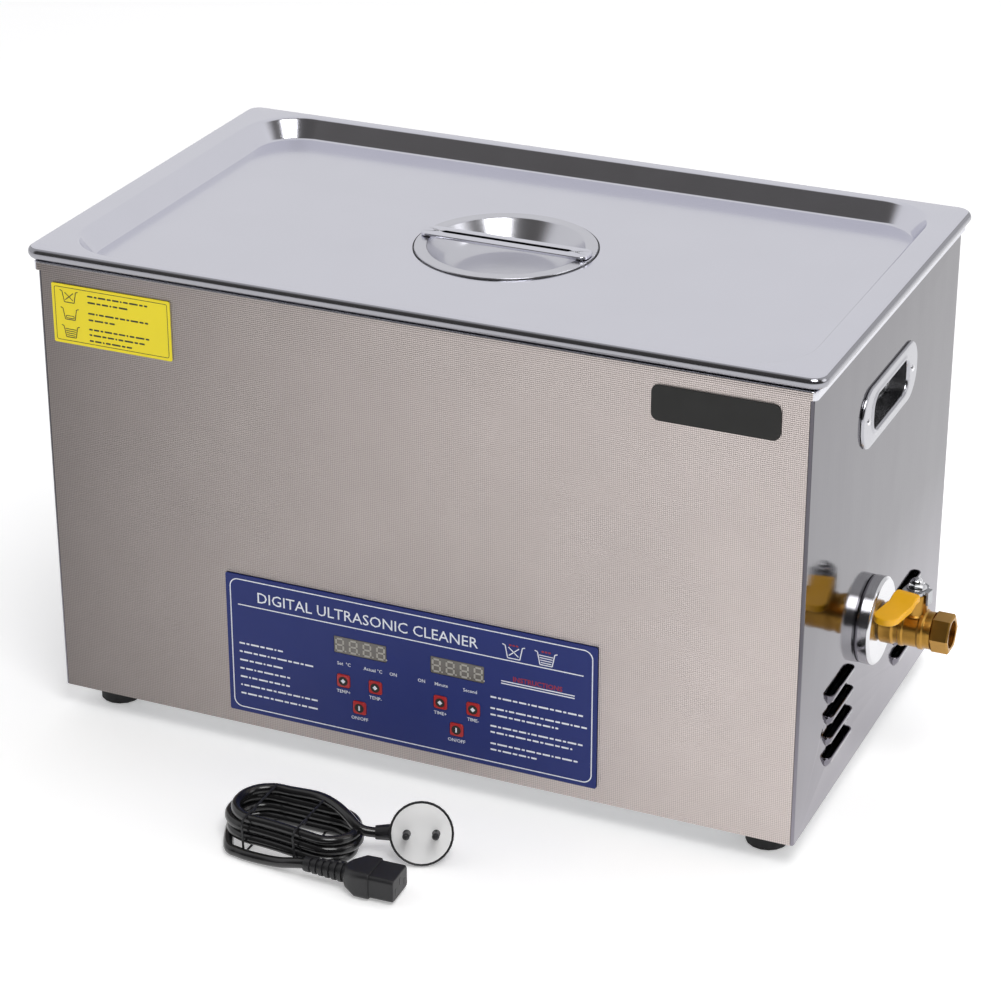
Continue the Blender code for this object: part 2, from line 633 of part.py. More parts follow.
def build_tank():
    """The pressed tank: one sheet from the floor, over the rim and down its skirt."""
    floor, fillet, lip = TANK_FLOOR_Z, TANK_FLOOR_FILLET, TANK_RIM_FILLET
    quarter = [math.radians(angle) for angle in (0, 30, 60, 90)]
    loops = [tank_loop(-fillet + fillet * math.sin(a), floor + fillet * (1 - math.cos(a))) for a in quarter]
    loops += [tank_loop(lip * (1 - math.cos(a)), RIM_TOP_Z - lip + lip * math.sin(a)) for a in quarter]
    skirt_z = RIM_TOP_Z - RIM_DROP
    loops += [rim_loop(RIM_EDGE, RIM_TOP_Z), rim_loop(0, RIM_TOP_Z - RIM_EDGE), rim_loop(0, skirt_z),
              rim_loop(SHEET, skirt_z), rim_loop(SHEET, RIM_TOP_Z - SHEET)]
    inside = lip - SHEET
    loops += [tank_loop(lip - inside * math.cos(a), RIM_TOP_Z - lip + inside * math.sin(a))
              for a in reversed(quarter)]
    outside = fillet + SHEET
    loops += [tank_loop(-fillet + outside * math.sin(a), floor + fillet - outside * math.cos(a))
              for a in reversed(quarter)]
    tank = place("tank", loft_mesh(loops), PRESSED)
    drain = rod_mesh(PIPE_BORE, TANK_BELOW_Z - SHEET, TANK_FLOOR_Z + SHEET, "Z", (DRAIN_X, VALVE_Y), 16)
    combine(tank, tool(drain), "DIFFERENCE")


def build_transducers():
    """Two rows of bolted transducers bonded under the tank's floor."""
    radius, height = TRANSDUCER_RADIUS, TRANSDUCER_HEIGHT
    neck = TRANSDUCER_NECK
    profile = [(0.0, 0.0), (0.0, radius), (-0.006, radius), (-0.030, neck), (-0.030, neck + 0.002),
               (-0.042, neck + 0.002), (-0.042, neck), (-height + 0.006, neck),
               (-height + 0.006, TRANSDUCER_BOLT), (-height, TRANSDUCER_BOLT), (-height, 0.0)]
    middle = (TRANSDUCER_COLUMNS - 1) / 2
    number = 0
    for row in (-1, 1):
        for column in range(TRANSDUCER_COLUMNS):
            number += 1
            place(f"transducer_{number}", turned_mesh(profile, "Z", 12), CERAMIC,
                  ((column - middle) * TRANSDUCER_PITCH, row * TRANSDUCER_ROW_Y, TANK_BELOW_Z - GAP))


def build_heater():
    """A silicone heating pad on the tank's rear wall."""
    near = TANK_WIDTH / 2 + SHEET + GAP
    pad = prism_xz(rounded_rectangle(HEATER_LENGTH / 2, HEATER_HEIGHT / 2, 0.008, 3),
                   near, near + HEATER_THICKNESS, (0, TANK_FLOOR_Z + HEATER_UP))
    place("heater_pad", pad, SILICONE)


# ---------------------------------------------------------------- electrics in the base
def build_generator():
    """Driver board on the base with its heat sink and capacitors, and a ring transformer."""
    x, y, z = BOARD_CENTRE
    half_x, half_y = BOARD_SIZE[0] / 2, BOARD_SIZE[1] / 2
    board = place("generator_board", block_mesh((x - half_x, y - half_y, z),
                                                (x + half_x, y + half_y, z + BOARD_THICKNESS)), GREEN_BOARD)
    sunk = z + BOARD_THICKNESS / 2
    reach = HEAT_SINK_WIDTH / 2
    pitch = (HEAT_SINK_WIDTH - HEAT_SINK_FIN) / (HEAT_SINK_FINS - 1)
    sink = [(-reach, 0.0), (reach, 0.0)]
    for fin in reversed(range(HEAT_SINK_FINS)):
        left, right = fin * pitch - reach, fin * pitch - reach + HEAT_SINK_FIN
        sink += [(right, HEAT_SINK_BASE), (right, HEAT_SINK_HEIGHT)]
        sink += [(left, HEAT_SINK_HEIGHT), (left, HEAT_SINK_BASE)]
    sink_centre = (x + HEAT_SINK_X, sunk)
    ends = [on_xz(sink, y + end * HEAT_SINK_LENGTH / 2, sink_centre) for end in (-1, 1)]
    combine(board, tool(loft_mesh(ends)), "UNION")
    for offset_x, offset_y, radius, height in CAPACITORS:
        can = rod_mesh(radius, sunk, sunk + height, "Z", (x + offset_x, y + offset_y), 12)
        combine(board, tool(can), "UNION")
    low, inner, outer, round_off = 0.0, TRANSFORMER_BORE, TRANSFORMER_RADIUS, TRANSFORMER_ROUND
    high = TRANSFORMER_HEIGHT
    core = [(low, inner), (low, outer - round_off), (round_off, outer), (high - round_off, outer),
            (high, outer - round_off), (high, inner)]
    place("mains_transformer", turned_mesh(core, "Z", 20), COPPER, TRANSFORMER_PLACE)


def build_display_board():
    """The board behind the control panel, and the two display modules it carries."""
    front, back = -DISPLAY_BOARD_Y - DISPLAY_BOARD_THICKNESS, -DISPLAY_BOARD_Y
    low = BASE_Z + min(z for _, _, z in KEYS) - KEY_SIZE / 2 - WINDOW_MARGIN
    high = BASE_Z + DISPLAY_Z + DISPLAY_HEIGHT / 2 + WINDOW_MARGIN
    reach = max(abs(x) for x in DISPLAY_X) + DISPLAY_WIDTH / 2 + WINDOW_MARGIN
    place("display_board", block_mesh((-reach, front, low), (reach, back, high)), GREEN_BOARD)
    for name, x in zip(("display_temperature", "display_time"), DISPLAY_X):
        centre = (x, BASE_Z + DISPLAY_Z)
        glass = rounded_rectangle(DISPLAY_WIDTH / 2 - GAP, DISPLAY_HEIGHT / 2 - GAP, DISPLAY_CORNER, 2)
        module = rounded_rectangle(DISPLAY_WIDTH / 2 - 0.001, DISPLAY_HEIGHT / 2 - 0.001, DISPLAY_CORNER, 2)
        window = loft_mesh([on_xz(glass, OVERLAY_FRONT_Y, centre), on_xz(glass, OVERLAY_BACK_Y, centre),
                            on_xz(module, OVERLAY_BACK_Y, centre), on_xz(module, front - GAP, centre)])
        place(name, window, SMOKE)


def build_fan():
    """A square fan behind the rear sheet: frame with struts, bladed rotor, wire guard outside."""
    back, front = INNER_Y - GAP - FAN_DEPTH, INNER_Y - GAP
    frame = place("fan_frame", prism_xz(rounded_rectangle(FAN_SIZE / 2, FAN_SIZE / 2, 0.005, 3),
                                        back, front, (FAN_X, FAN_Z)), BLACK_PLASTIC)
    duct = rod_mesh(FAN_DUCT, back - SHEET, front + SHEET, "Y", (FAN_X, FAN_Z), 32)
    combine(frame, tool(duct), "DIFFERENCE")
    thin, long = FAN_STRUT / 2, FAN_DUCT + 0.001
    for half_x, half_z in ((long, thin), (thin, long)):
        bar = block_mesh((FAN_X - half_x, back, FAN_Z - half_z),
                         (FAN_X + half_x, back + FAN_STRUT_DEPTH, FAN_Z + half_z))
        combine(frame, tool(bar), "UNION")
    motor_plate = rod_mesh(FAN_HUB, back, back + FAN_STRUT_DEPTH, "Y", (FAN_X, FAN_Z), 20)
    combine(frame, tool(motor_plate), "UNION")
    build_rotor(back + FAN_STRUT_DEPTH + FAN_CLEAR, front - 2 * FAN_CLEAR)
    build_guard()


def build_rotor(rotor_back, rotor_front):
    """The hub and its slanting blades, on the fan's axle."""
    axle = empty("FAN_AXLE", (FAN_X, 0, FAN_Z))
    rotor = place("fan_rotor", rod_mesh(FAN_HUB, rotor_back, rotor_front, "Y", steps=20),
                  BLACK_PLASTIC, parent=axle)
    middle = (rotor_back + rotor_front) / 2
    for blade in range(FAN_BLADES):
        half, thick = FAN_BLADE_WIDTH / 2, FAN_BLADE_THICKNESS / 2
        vane = block_mesh((FAN_HUB - 2 * FAN_BLADE_THICKNESS, -thick, -half), (FAN_TIP, thick, half))
        bmesh.ops.rotate(vane, verts=vane.verts, matrix=Matrix.Rotation(FAN_BLADE_PITCH, 3, "X"))
        bmesh.ops.translate(vane, verts=vane.verts, vec=(0, middle, 0))
        spin = Matrix.Rotation(2 * math.pi * blade / FAN_BLADES, 3, "Y")
        bmesh.ops.rotate(vane, verts=vane.verts, matrix=spin)
        combine(rotor, tool(vane, parent=axle), "UNION")


def build_guard():
    """The wire guard outside: three rings and two crossed wires."""
    near, far = FACE_Y + GAP, FACE_Y + GAP + GUARD_WIRE
    rings = []
    for radius in GUARD_RINGS:
        profile = [(near, radius), (near, radius + GUARD_WIRE), (far, radius + GUARD_WIRE), (far, radius)]
        rings.append(turned_mesh(profile, "Y", 28))
    guard = place("fan_guard", rings[-1], CHROME, (FAN_X, 0, FAN_Z))
    for ring in rings[:-1]:
        combine(guard, tool(ring, (FAN_X, 0, FAN_Z)), "UNION")
    for angle in (45, 135):
        spoke = block_mesh((-GUARD_REACH, near, -GUARD_WIRE / 2), (GUARD_REACH, far, GUARD_WIRE / 2))
        bmesh.ops.rotate(spoke, verts=spoke.verts, matrix=Matrix.Rotation(math.radians(angle), 3, "Y"))
        combine(guard, tool(spoke, (FAN_X, 0, FAN_Z)), "UNION")


def build_inlet():
    """The appliance inlet: a snap-in shell with a deep cavity and three blades."""
    centre = (INLET_X, INLET_Z)
    front = FACE_Y + GAP + REAR_PROUD
    floor = front - SOCKET_DEPTH
    body = rounded_rectangle(INLET_BODY_WIDTH / 2, INLET_BODY_HEIGHT / 2, SHELL_CORNER, 2)
    flange = rounded_rectangle(INLET_WIDTH / 2, INLET_HEIGHT / 2, FLANGE_CORNER, 2)
    cavity = rounded_rectangle(SOCKET_WIDTH / 2, SOCKET_HEIGHT / 2, FLANGE_CORNER, 2)
    shell = loft_mesh([on_xz(body, floor - INLET_BACK, centre), on_xz(body, FACE_Y + GAP, centre),
                       on_xz(flange, FACE_Y + GAP, centre), on_xz(flange, front - FLANGE_EASE, centre),
                       on_xz(cavity, front, centre), on_xz(cavity, floor, centre)])
    inlet = place("appliance_inlet", shell, BLACK_PLASTIC)
    half_wide, half_high = BLADE_HALF
    for x, z in CONTACTS:
        blade = block_mesh((INLET_X + x - half_wide, floor - INLET_BACK / 4, INLET_Z + z - half_high),
                           (INLET_X + x + half_wide, front - BLADE_INSET, INLET_Z + z + half_high))
        combine(inlet, tool(blade), "UNION")


def build_switch():
    """The power switch: a frame and a rocker that tips about an upright axis."""
    centre = (SWITCH_X, INLET_Z)
    front = FACE_Y + GAP + REAR_PROUD
    floor = front - SWITCH_DEPTH
    half_x, half_z = SWITCH_WIDTH / 2, SWITCH_HEIGHT / 2
    body = rounded_rectangle(SWITCH_BODY_WIDTH / 2, SWITCH_BODY_HEIGHT / 2, SHELL_CORNER, 2)
    flange = rounded_rectangle(half_x, half_z, FLANGE_CORNER, 2)
    well = rounded_rectangle(ROCKER_LENGTH / 2 + ROCKER_CLEAR, ROCKER_HEIGHT / 2 + GAP, SHELL_CORNER / 2, 2)
    frame = loft_mesh([on_xz(body, floor - SWITCH_BACK, centre), on_xz(body, FACE_Y + GAP, centre),
                       on_xz(flange, FACE_Y + GAP, centre), on_xz(flange, front - FLANGE_EASE, centre),
                       on_xz(well, front, centre), on_xz(well, floor, centre)])
    place("switch_frame", frame, BLACK_PLASTIC)
    pivot = empty("SWITCH_PIVOT", (SWITCH_X, front - ROCKER_AXIS_DEPTH, INLET_Z), (0, 0, -ROCKER_SWING / 2))
    end = ROCKER_LENGTH / 2
    between = (ROCKER_RISE + 3 * ROCKER_DIP) / 4
    shallow, deep = ROCKER_UNDER
    section = [(-end, ROCKER_RISE), (-end * 0.5, between), (0.0, ROCKER_DIP), (end * 0.5, between),
               (end, ROCKER_RISE), (end * 0.85, -shallow), (0.0, -deep), (-end * 0.85, -shallow)]
    rocker = loft_mesh([on_xy(section, -ROCKER_HEIGHT / 2), on_xy(section, ROCKER_HEIGHT / 2)])
    place("switch_rocker", rocker, BLACK_PLASTIC, parent=pivot)


# ---------------------------------------------------------------- front panel
def build_control_panel():
    """The printed overlay with holes for the displays and keys, and the six keys."""
    centre = (PANEL_CENTRE_X, BASE_Z + PANEL_BOTTOM + PANEL_HEIGHT / 2)
    sheet = prism_xz(rounded_rectangle(PANEL_WIDTH / 2, PANEL_HEIGHT / 2, PANEL_CORNER, 4),
                     OVERLAY_BACK_Y, OVERLAY_FRONT_Y, centre)
    overlay = place("control_panel", sheet, PRINT)
    past = (OVERLAY_BACK_Y + OVERLAY, OVERLAY_FRONT_Y - OVERLAY)
    for x in DISPLAY_X:
        hole = rounded_rectangle(DISPLAY_WIDTH / 2, DISPLAY_HEIGHT / 2, DISPLAY_CORNER + GAP, 2)
        combine(overlay, tool(prism_xz(hole, *past, (x, BASE_Z + DISPLAY_Z))), "DIFFERENCE")
    pad = rounded_rectangle(KEY_SIZE / 2 - GAP, KEY_SIZE / 2 - GAP, KEY_CORNER, 3)
    crown = rounded_rectangle(KEY_SIZE / 2 - 2.5 * GAP, KEY_SIZE / 2 - 2.5 * GAP, KEY_CORNER - GAP, 3)
    for name, x, z in KEYS:
        key_centre = (x, BASE_Z + z)
        hole = rounded_rectangle(KEY_SIZE / 2, KEY_SIZE / 2, KEY_CORNER + GAP, 3)
        combine(overlay, tool(prism_xz(hole, *past, key_centre)), "DIFFERENCE")
        cap = loft_mesh([on_xz(pad, OVERLAY_BACK_Y, key_centre), on_xz(pad, OVERLAY_FRONT_Y, key_centre),
                         on_xz(crown, OVERLAY_FRONT_Y - KEY_PROUD, key_centre)])
        key = place(name, cap, KEY_RED)
        stem = rod_mesh(KEY_STEM_RADIUS, OVERLAY_BACK_Y - OVERLAY / 2, OVERLAY_BACK_Y + KEY_STEM, "Y",
                        key_centre, 10)
        combine(key, tool(stem), "UNION")


def build_foils():
    """The yellow notice and the black plate stuck to the front sheet."""
    for name, size, (x, z), corner, material in (
            ("notice_label", LABEL_SIZE, LABEL_CENTRE, LABEL_CORNER, YELLOW_FOIL),
            ("name_plate", STICKER_SIZE, STICKER_CENTRE, STICKER_CORNER, BLACK_FOIL)):
        outline = rounded_rectangle(size[0] / 2, size[1] / 2, corner, 4)
        foil = prism_xz(outline, -FACE_Y - GAP, -FACE_Y - GAP - FOIL, (x, BASE_Z + z))
        place(name, foil, material)


def build_handle(side, name):
    """A pressed bezel with a raised lip round a pocket for the fingers."""
    centre = (0, BASE_Z + HANDLE_Z)
    plate = (HANDLE_LENGTH, HANDLE_HEIGHT, HANDLE_CORNER)
    pocket = (POCKET_LENGTH, POCKET_HEIGHT, POCKET_CORNER)
    face = HANDLE_FACE * HANDLE_PROUD
    sections = ((pocket, SHEET, -POCKET_DEPTH - SHEET), (pocket, SHEET, GAP), (plate, 0, GAP),
                (plate, 0, GAP + HANDLE_EDGE), (plate, -2 * HANDLE_EDGE, face), (pocket, HANDLE_LIP, face),
                (pocket, HANDLE_LIP / 2, HANDLE_PROUD), (pocket, HANDLE_LIP / 8, 0.93 * HANDLE_PROUD),
                (pocket, 0, 0.45 * HANDLE_PROUD), (pocket, 0, -POCKET_DEPTH))
    loops = []
    for (length, height, corner), grow, x in sections:
        outline = rounded_rectangle(length / 2 + grow, height / 2 + grow, corner + grow)
        loops.append(on_yz(outline, side * (SIDE_X + x), centre))
    place(name, loft_mesh(loops), PRESSED)


# ---------------------------------------------------------------- drain and ball valve
def build_drain():
    """Elbow under the tank with its pipe to the side, and the steel flange outside."""
    axis_z = BASE_Z + VALVE_Z
    drop = place("drain_elbow", rod_mesh(ELBOW_RADIUS, axis_z - ELBOW_RADIUS, TANK_BELOW_Z - GAP, "Z",
                                         (DRAIN_X, VALVE_Y), 20), BRASS)
    pipe_end = VALVE_START_X - GAP
    combine(drop, tool(rod_mesh(PIPE_RADIUS, DRAIN_X, pipe_end, "X", (VALVE_Y, axis_z))), "UNION")
    combine(drop, tool(rod_mesh(PIPE_BORE, axis_z - PIPE_BORE / 2, TANK_FLOOR_Z, "Z",
                                (DRAIN_X, VALVE_Y), 16)), "DIFFERENCE")
    along = rod_mesh(PIPE_BORE, DRAIN_X, pipe_end + SHEET, "X", (VALVE_Y, axis_z), 16)
    combine(drop, tool(along), "DIFFERENCE")

    bore, radius, edge = PIPE_RADIUS + 2 * GAP, FLANGE_RADIUS, FLANGE_EDGE
    middle = FLANGE_THICKNESS / 2
    profile = [(0.0, bore), (0.0, radius - edge), (edge, radius), (middle - edge, radius),
               (middle, radius - edge), (middle + edge, radius), (FLANGE_THICKNESS - edge, radius),
               (FLANGE_THICKNESS, radius - edge), (FLANGE_THICKNESS, bore)]
    place("drain_flange", turned_mesh(profile, "X", 40), PRESSED, (FLANGE_X, VALVE_Y, axis_z))


def valve_profile():
    """The valve body's outline and bores along its axis, for a turned mesh."""
    r, flat, chamfer = VALVE_RADIUS, VALVE_HEX, VALVE_CHAMFER
    waist, band = r - VALVE_WAIST, r + VALVE_BAND
    end, thread = VALVE_LENGTH, VALVE_LENGTH - THREAD_DEPTH
    inlet_hex, outlet_hex = INLET_HEX_LENGTH, VALVE_LENGTH - OUTLET_HEX_LENGTH
    outside = [(0.0, flat - chamfer), (chamfer, flat), (inlet_hex, flat), (inlet_hex + chamfer, waist),
               (BAND_PLACES[0] - chamfer, waist), (BAND_PLACES[0], band), (BAND_PLACES[0] + BAND_WIDTH, r),
               (BAND_PLACES[1] - BAND_WIDTH, r), (BAND_PLACES[1], band), (BAND_PLACES[1] + chamfer, waist),
               (outlet_hex - chamfer, waist), (outlet_hex, flat), (end - chamfer, flat),
               (end, flat - chamfer)]
    inside = [(end, VALVE_BORE), (thread, VALVE_BORE), (thread, BALL_BORE),
              (INLET_THREAD, BALL_BORE), (INLET_THREAD, VALVE_BORE_IN), (0.0, VALVE_BORE_IN)]
    return outside + inside


def build_valve():
    """Brass ball valve; its ball, stem and lever turn together about the stem's axis."""
    axis_z = BASE_Z + VALVE_Z
    ball_x = VALVE_START_X + STEM_X
    body = place("valve_body", turned_mesh(valve_profile(), "X"), BRASS, (VALVE_START_X, VALVE_Y, axis_z))
    boss_low = axis_z + VALVE_RADIUS - 0.002
    boss = rod_mesh(BOSS_RADIUS, boss_low, axis_z + BOSS_TOP, "Z", (ball_x, VALVE_Y))
    combine(body, tool(boss), "UNION")
    cavity = turned_mesh(arc((0, 0), BALL_RADIUS + GAP, 0, 180, 10), "X", 20)
    combine(body, tool(cavity, (ball_x, VALVE_Y, axis_z)), "DIFFERENCE")
    stem_hole = rod_mesh(STEM_RADIUS + GAP, axis_z, axis_z + BOSS_TOP + SHEET, "Z", (ball_x, VALVE_Y), 20)
    combine(body, tool(stem_hole), "DIFFERENCE")
    axle = empty("STEM_AXLE", (ball_x, VALVE_Y, axis_z))
    build_ball_and_stem(axle)
    build_lever(axle)


def build_ball_and_stem(axle):
    """The bored ball, flattened where the stem meets it, and the stem with its nut."""
    waist = math.degrees(math.asin(BALL_BORE / BALL_RADIUS))
    surface = arc((0, 0), BALL_RADIUS, waist, 180 - waist, 8)
    ball = place("valve_ball", turned_mesh(surface, "Y", 20), CHROME, parent=axle)
    flat_z = BALL_RADIUS - BALL_FLAT
    flat = block_mesh((-BALL_RADIUS, -BALL_RADIUS, flat_z), (BALL_RADIUS, BALL_RADIUS, 2 * BALL_RADIUS))
    combine(ball, tool(flat, parent=axle), "DIFFERENCE")
    nut_low = BOSS_TOP + 2 * GAP + LEVER_THICKNESS
    nut_high = nut_low + NUT_HEIGHT
    stem = rod_mesh(STEM_RADIUS, flat_z + GAP, nut_high + STEM_PROUD, "Z", steps=20)
    spindle = place("valve_stem", stem, CHROME, parent=axle)
    nut = loft_mesh([on_xy(circle(NUT_RADIUS, 6), z) for z in (nut_low, nut_high)])
    combine(spindle, tool(nut, parent=axle), "UNION")


def build_lever(axle):
    """The steel lever with its stop tab, in a soft yellow sleeve."""
    frame = empty("LEVER_FRAME", (0, 0, BOSS_TOP + GAP), (0, 0, -LEVER_YAW), axle)
    tip, root, core, wall = LEVER_LENGTH, LEVER_ROOT, LEVER_CORE, SLEEVE_WALL
    outline = ((-0.0090, 0.4 * root), (-0.0072, 0.8 * root), (-0.0030, root), (0.0060, root),
               (SLEEVE_START - 0.0005, core), (LEVER_BEND, core), (LEVER_BEND + LEVER_BEND_RUN, core),
               (tip - 0.0060, core), (tip - 0.0030, 0.5 * core))
    plate = loft_mesh([lever_slice(along, half, 0.0, LEVER_THICKNESS) for along, half in outline])
    lever = place("valve_lever", plate, ZINC, parent=frame)
    near, far = LEVER_TAB
    tab_outline = ((0.0, 0.0), (near, 0.0), (near, -LEVER_TAB_DROP), (far, -LEVER_TAB_DROP),
                   (far, LEVER_THICKNESS), (0.0, LEVER_THICKNESS))
    tab = prism_xz(tab_outline, LEVER_TAB_HALF, -LEVER_TAB_HALF)
    combine(lever, tool(tab, parent=frame), "UNION")
    hole = rod_mesh(STEM_RADIUS + GAP, -SHEET, LEVER_THICKNESS + SHEET, "Z", steps=20)
    combine(lever, tool(hole, parent=frame), "DIFFERENCE")

    half = LEVER_WIDTH / 2
    outside = ((tip, 0.30), (tip - 0.0012, 0.62), (tip - 0.0035, 0.86), (tip - 0.0070, 1.0),
               (LEVER_BEND + LEVER_BEND_RUN, 1.0), (LEVER_BEND, 1.0), (SLEEVE_START + 0.0015, 1.0),
               (SLEEVE_START, 0.82))
    loops = [lever_slice(along, half * share, -wall, LEVER_THICKNESS + wall) for along, share in outside]
    inside = ((SLEEVE_START, 1.0), (LEVER_BEND, 1.0), (LEVER_BEND + LEVER_BEND_RUN, 1.0),
              (tip - 0.0050, 1.0), (tip - 0.0024, 0.5))
    for along, share in inside:
        loops.append(lever_slice(along, (core + GAP) * share, -GAP, LEVER_THICKNESS + GAP))
    place("lever_sleeve", loft_mesh(loops), VINYL, parent=frame)


def lever_slice(along, half_width, low, high):
    """A cross-section of the lever, which runs to the front and steps down at its bend."""
    share = min(max((along - LEVER_BEND) / LEVER_BEND_RUN, 0.0), 1.0)
    drop = -LEVER_DROP * share
    return [Vector((x, -along, z + drop)) for x, z in
            ((half_width, low), (half_width, high), (-half_width, high), (-half_width, low))]


# ---------------------------------------------------------------- lid
def parallel(profile, distance):
    """The profile moved to its lower side by a distance, mitred at its corners."""
    moved = []
    for i, (s, z) in enumerate(profile):
        before = profile[max(i - 1, 0)]
        after = profile[min(i + 1, len(profile) - 1)]
        first = Vector((s - before[0], z - before[1])) if i else Vector((after[0] - s, after[1] - z))
        second = Vector((after[0] - s, after[1] - z)) if i < len(profile) - 1 else first
        normal = (Vector((first.y, -first.x)).normalized() + Vector((second.y, -second.x)).normalized())
        normal.normalize()
        share = normal.dot(Vector((first.y, -first.x)).normalized())
        moved.append((s + normal.x * distance / share, z + normal.y * distance / share))
    return moved


def build_lid():
    """The loose lid: rolled edge, margin, leaning recess wall and flat floor with the grip's hole."""
    top_x, top_y = LID_LENGTH / 2 - LID_MARGIN_X, LID_WIDTH / 2 - LID_MARGIN_Y
    top, low, run = LID_TOP_Z, RECESS_Z, RECESS_RUN
    recess = [(-run - 0.0030, low), (-run - 0.0008, low + 0.0006), (-run + 0.0008, low + 0.0026),
              (-0.0030, top - 0.0042), (-0.0012, top - 0.0016), (0.0014, top - 0.0003), (0.0034, top)]
    roll = LID_EDGE / 2

    def recess_loop(offset, z):
        return on_xy(rounded_rectangle(top_x + offset, top_y + offset, RECESS_CORNER + offset), z)

    def edge_loop(inset, z):
        return on_xy(rounded_rectangle(LID_LENGTH / 2 - inset, LID_WIDTH / 2 - inset,
                                       max(LID_CORNER - inset, 0.001)), z)

    angles = [math.radians(a) for a in (90, 60, 30, 0, -30, -60, -90)]
    loops = [recess_loop(offset, z) for offset, z in recess]
    inner = roll - LID_SHEET
    rounds = [(roll, a) for a in angles] + [(inner, a) for a in reversed(angles)]
    loops += [edge_loop(roll - size * math.cos(a), top - roll + size * math.sin(a)) for size, a in rounds]
    loops += [recess_loop(offset, z) for offset, z in reversed(parallel(recess, LID_SHEET))]
    lid = place("lid", loft_mesh(loops), POLISHED, (LID_SHIFT, 0, 0))
    bowl = DISH_BOWL_RADIUS + LID_SHEET + GAP
    hole = rod_mesh(bowl, low - 2 * LID_SHEET, low + LID_SHEET, "Z", (LID_SHIFT, 0), 40)
    combine(lid, tool(hole), "DIFFERENCE")


def build_grip():
    """The round grip dish set in the lid, and the slotted bar across it."""
    ring_z = RECESS_Z + GAP
    bowl, floor, depth = DISH_BOWL_RADIUS, DISH_FLOOR_RADIUS, DISH_DEPTH
    upper = [(DISH_RING_RADIUS, ring_z + 0.0004), (DISH_RING_RADIUS - 0.0006, ring_z + LID_SHEET),
             (bowl + 0.0022, ring_z + LID_SHEET), (bowl + 0.0004, ring_z + 0.0002), (bowl, ring_z - 0.0016),
             (bowl - 0.0030, ring_z - 0.0080), (floor + 0.0070, ring_z - depth + 0.0032),
             (floor + 0.0020, ring_z - depth + 0.0008), (floor - 0.0020, ring_z - depth),
             (0.0, ring_z - depth)]
    under = [(DISH_RING_RADIUS, ring_z), (bowl + 0.0012, ring_z), (bowl + 0.0004, ring_z - 0.0020)]
    under += [(r, z - LID_SHEET) for r, z in upper[5:]]
    under[3:4] = [(bowl - 0.0022, ring_z - 0.0086)]
    chain = [(z, r) for r, z in reversed(upper)] + [(z, r) for r, z in under]
    place("lid_dish", turned_mesh(chain, "Z", 40), PRESSED, (LID_SHIFT, 0, 0))

    bar_z = ring_z + LID_SHEET + GAP
    outline = rounded_rectangle(BAR_LENGTH / 2, BAR_WIDTH / 2, BAR_WIDTH * 0.35)
    soft = BAR_SOFT_EDGE
    edge = rounded_rectangle(BAR_LENGTH / 2 - soft, BAR_WIDTH / 2 - soft, BAR_WIDTH * 0.35 - soft)
    strip = loft_mesh([on_xy(outline, bar_z), on_xy(outline, bar_z + BAR_THICKNESS - soft),
                       on_xy(edge, bar_z + BAR_THICKNESS)])
    bar = place("lid_bar", strip, POLISHED, (LID_SHIFT, 0, 0))
    slot = rounded_rectangle(BAR_SLOT_LENGTH / 2, BAR_SLOT_WIDTH / 2, BAR_SLOT_WIDTH * 0.45, 3)
    cut = loft_mesh([on_xy(slot, bar_z - SHEET), on_xy(slot, bar_z + BAR_THICKNESS + SHEET)])
    combine(bar, tool(cut, (LID_SHIFT, 0, 0)), "DIFFERENCE")


# ---------------------------------------------------------------- unplugged mains lead
def smooth_route(points, steps=4):
    """Points on a smooth curve through the route's own points."""
    guides = [Vector(p) for p in points]
    guides = [2 * guides[0] - guides[1]] + guides + [2 * guides[-1] - guides[-2]]
    route = []
    for a, b, c, d in zip(guides, guides[1:], guides[2:], guides[3:]):
        for step in range(steps):
            t = step / steps
            route.append(0.5 * (2 * b + (c - a) * t + (2 * a - 5 * b + 4 * c - d) * t * t
                                + (3 * b - a - 3 * c + d) * t ** 3))
    return route + [guides[-2]]


def build_cable(name, points):
    """A stretch of the lead along a route."""
    curve = bpy.data.curves.new(name, "CURVE")
    curve.dimensions = "3D"
    curve.bevel_depth = CABLE_DIAMETER / 2
    curve.bevel_resolution = 2
    curve.use_fill_caps = True
    route = smooth_route(points)
    spline = curve.splines.new("POLY")
    spline.points.add(len(route) - 1)
    for point, place_on in zip(spline.points, route):
        point.co = (*place_on, 1.0)
    curve.materials.append(CORD_PLASTIC)
    cable = bpy.data.objects.new(name, curve)
    bpy.context.scene.collection.objects.link(cable)
    cable.parent = body_centre


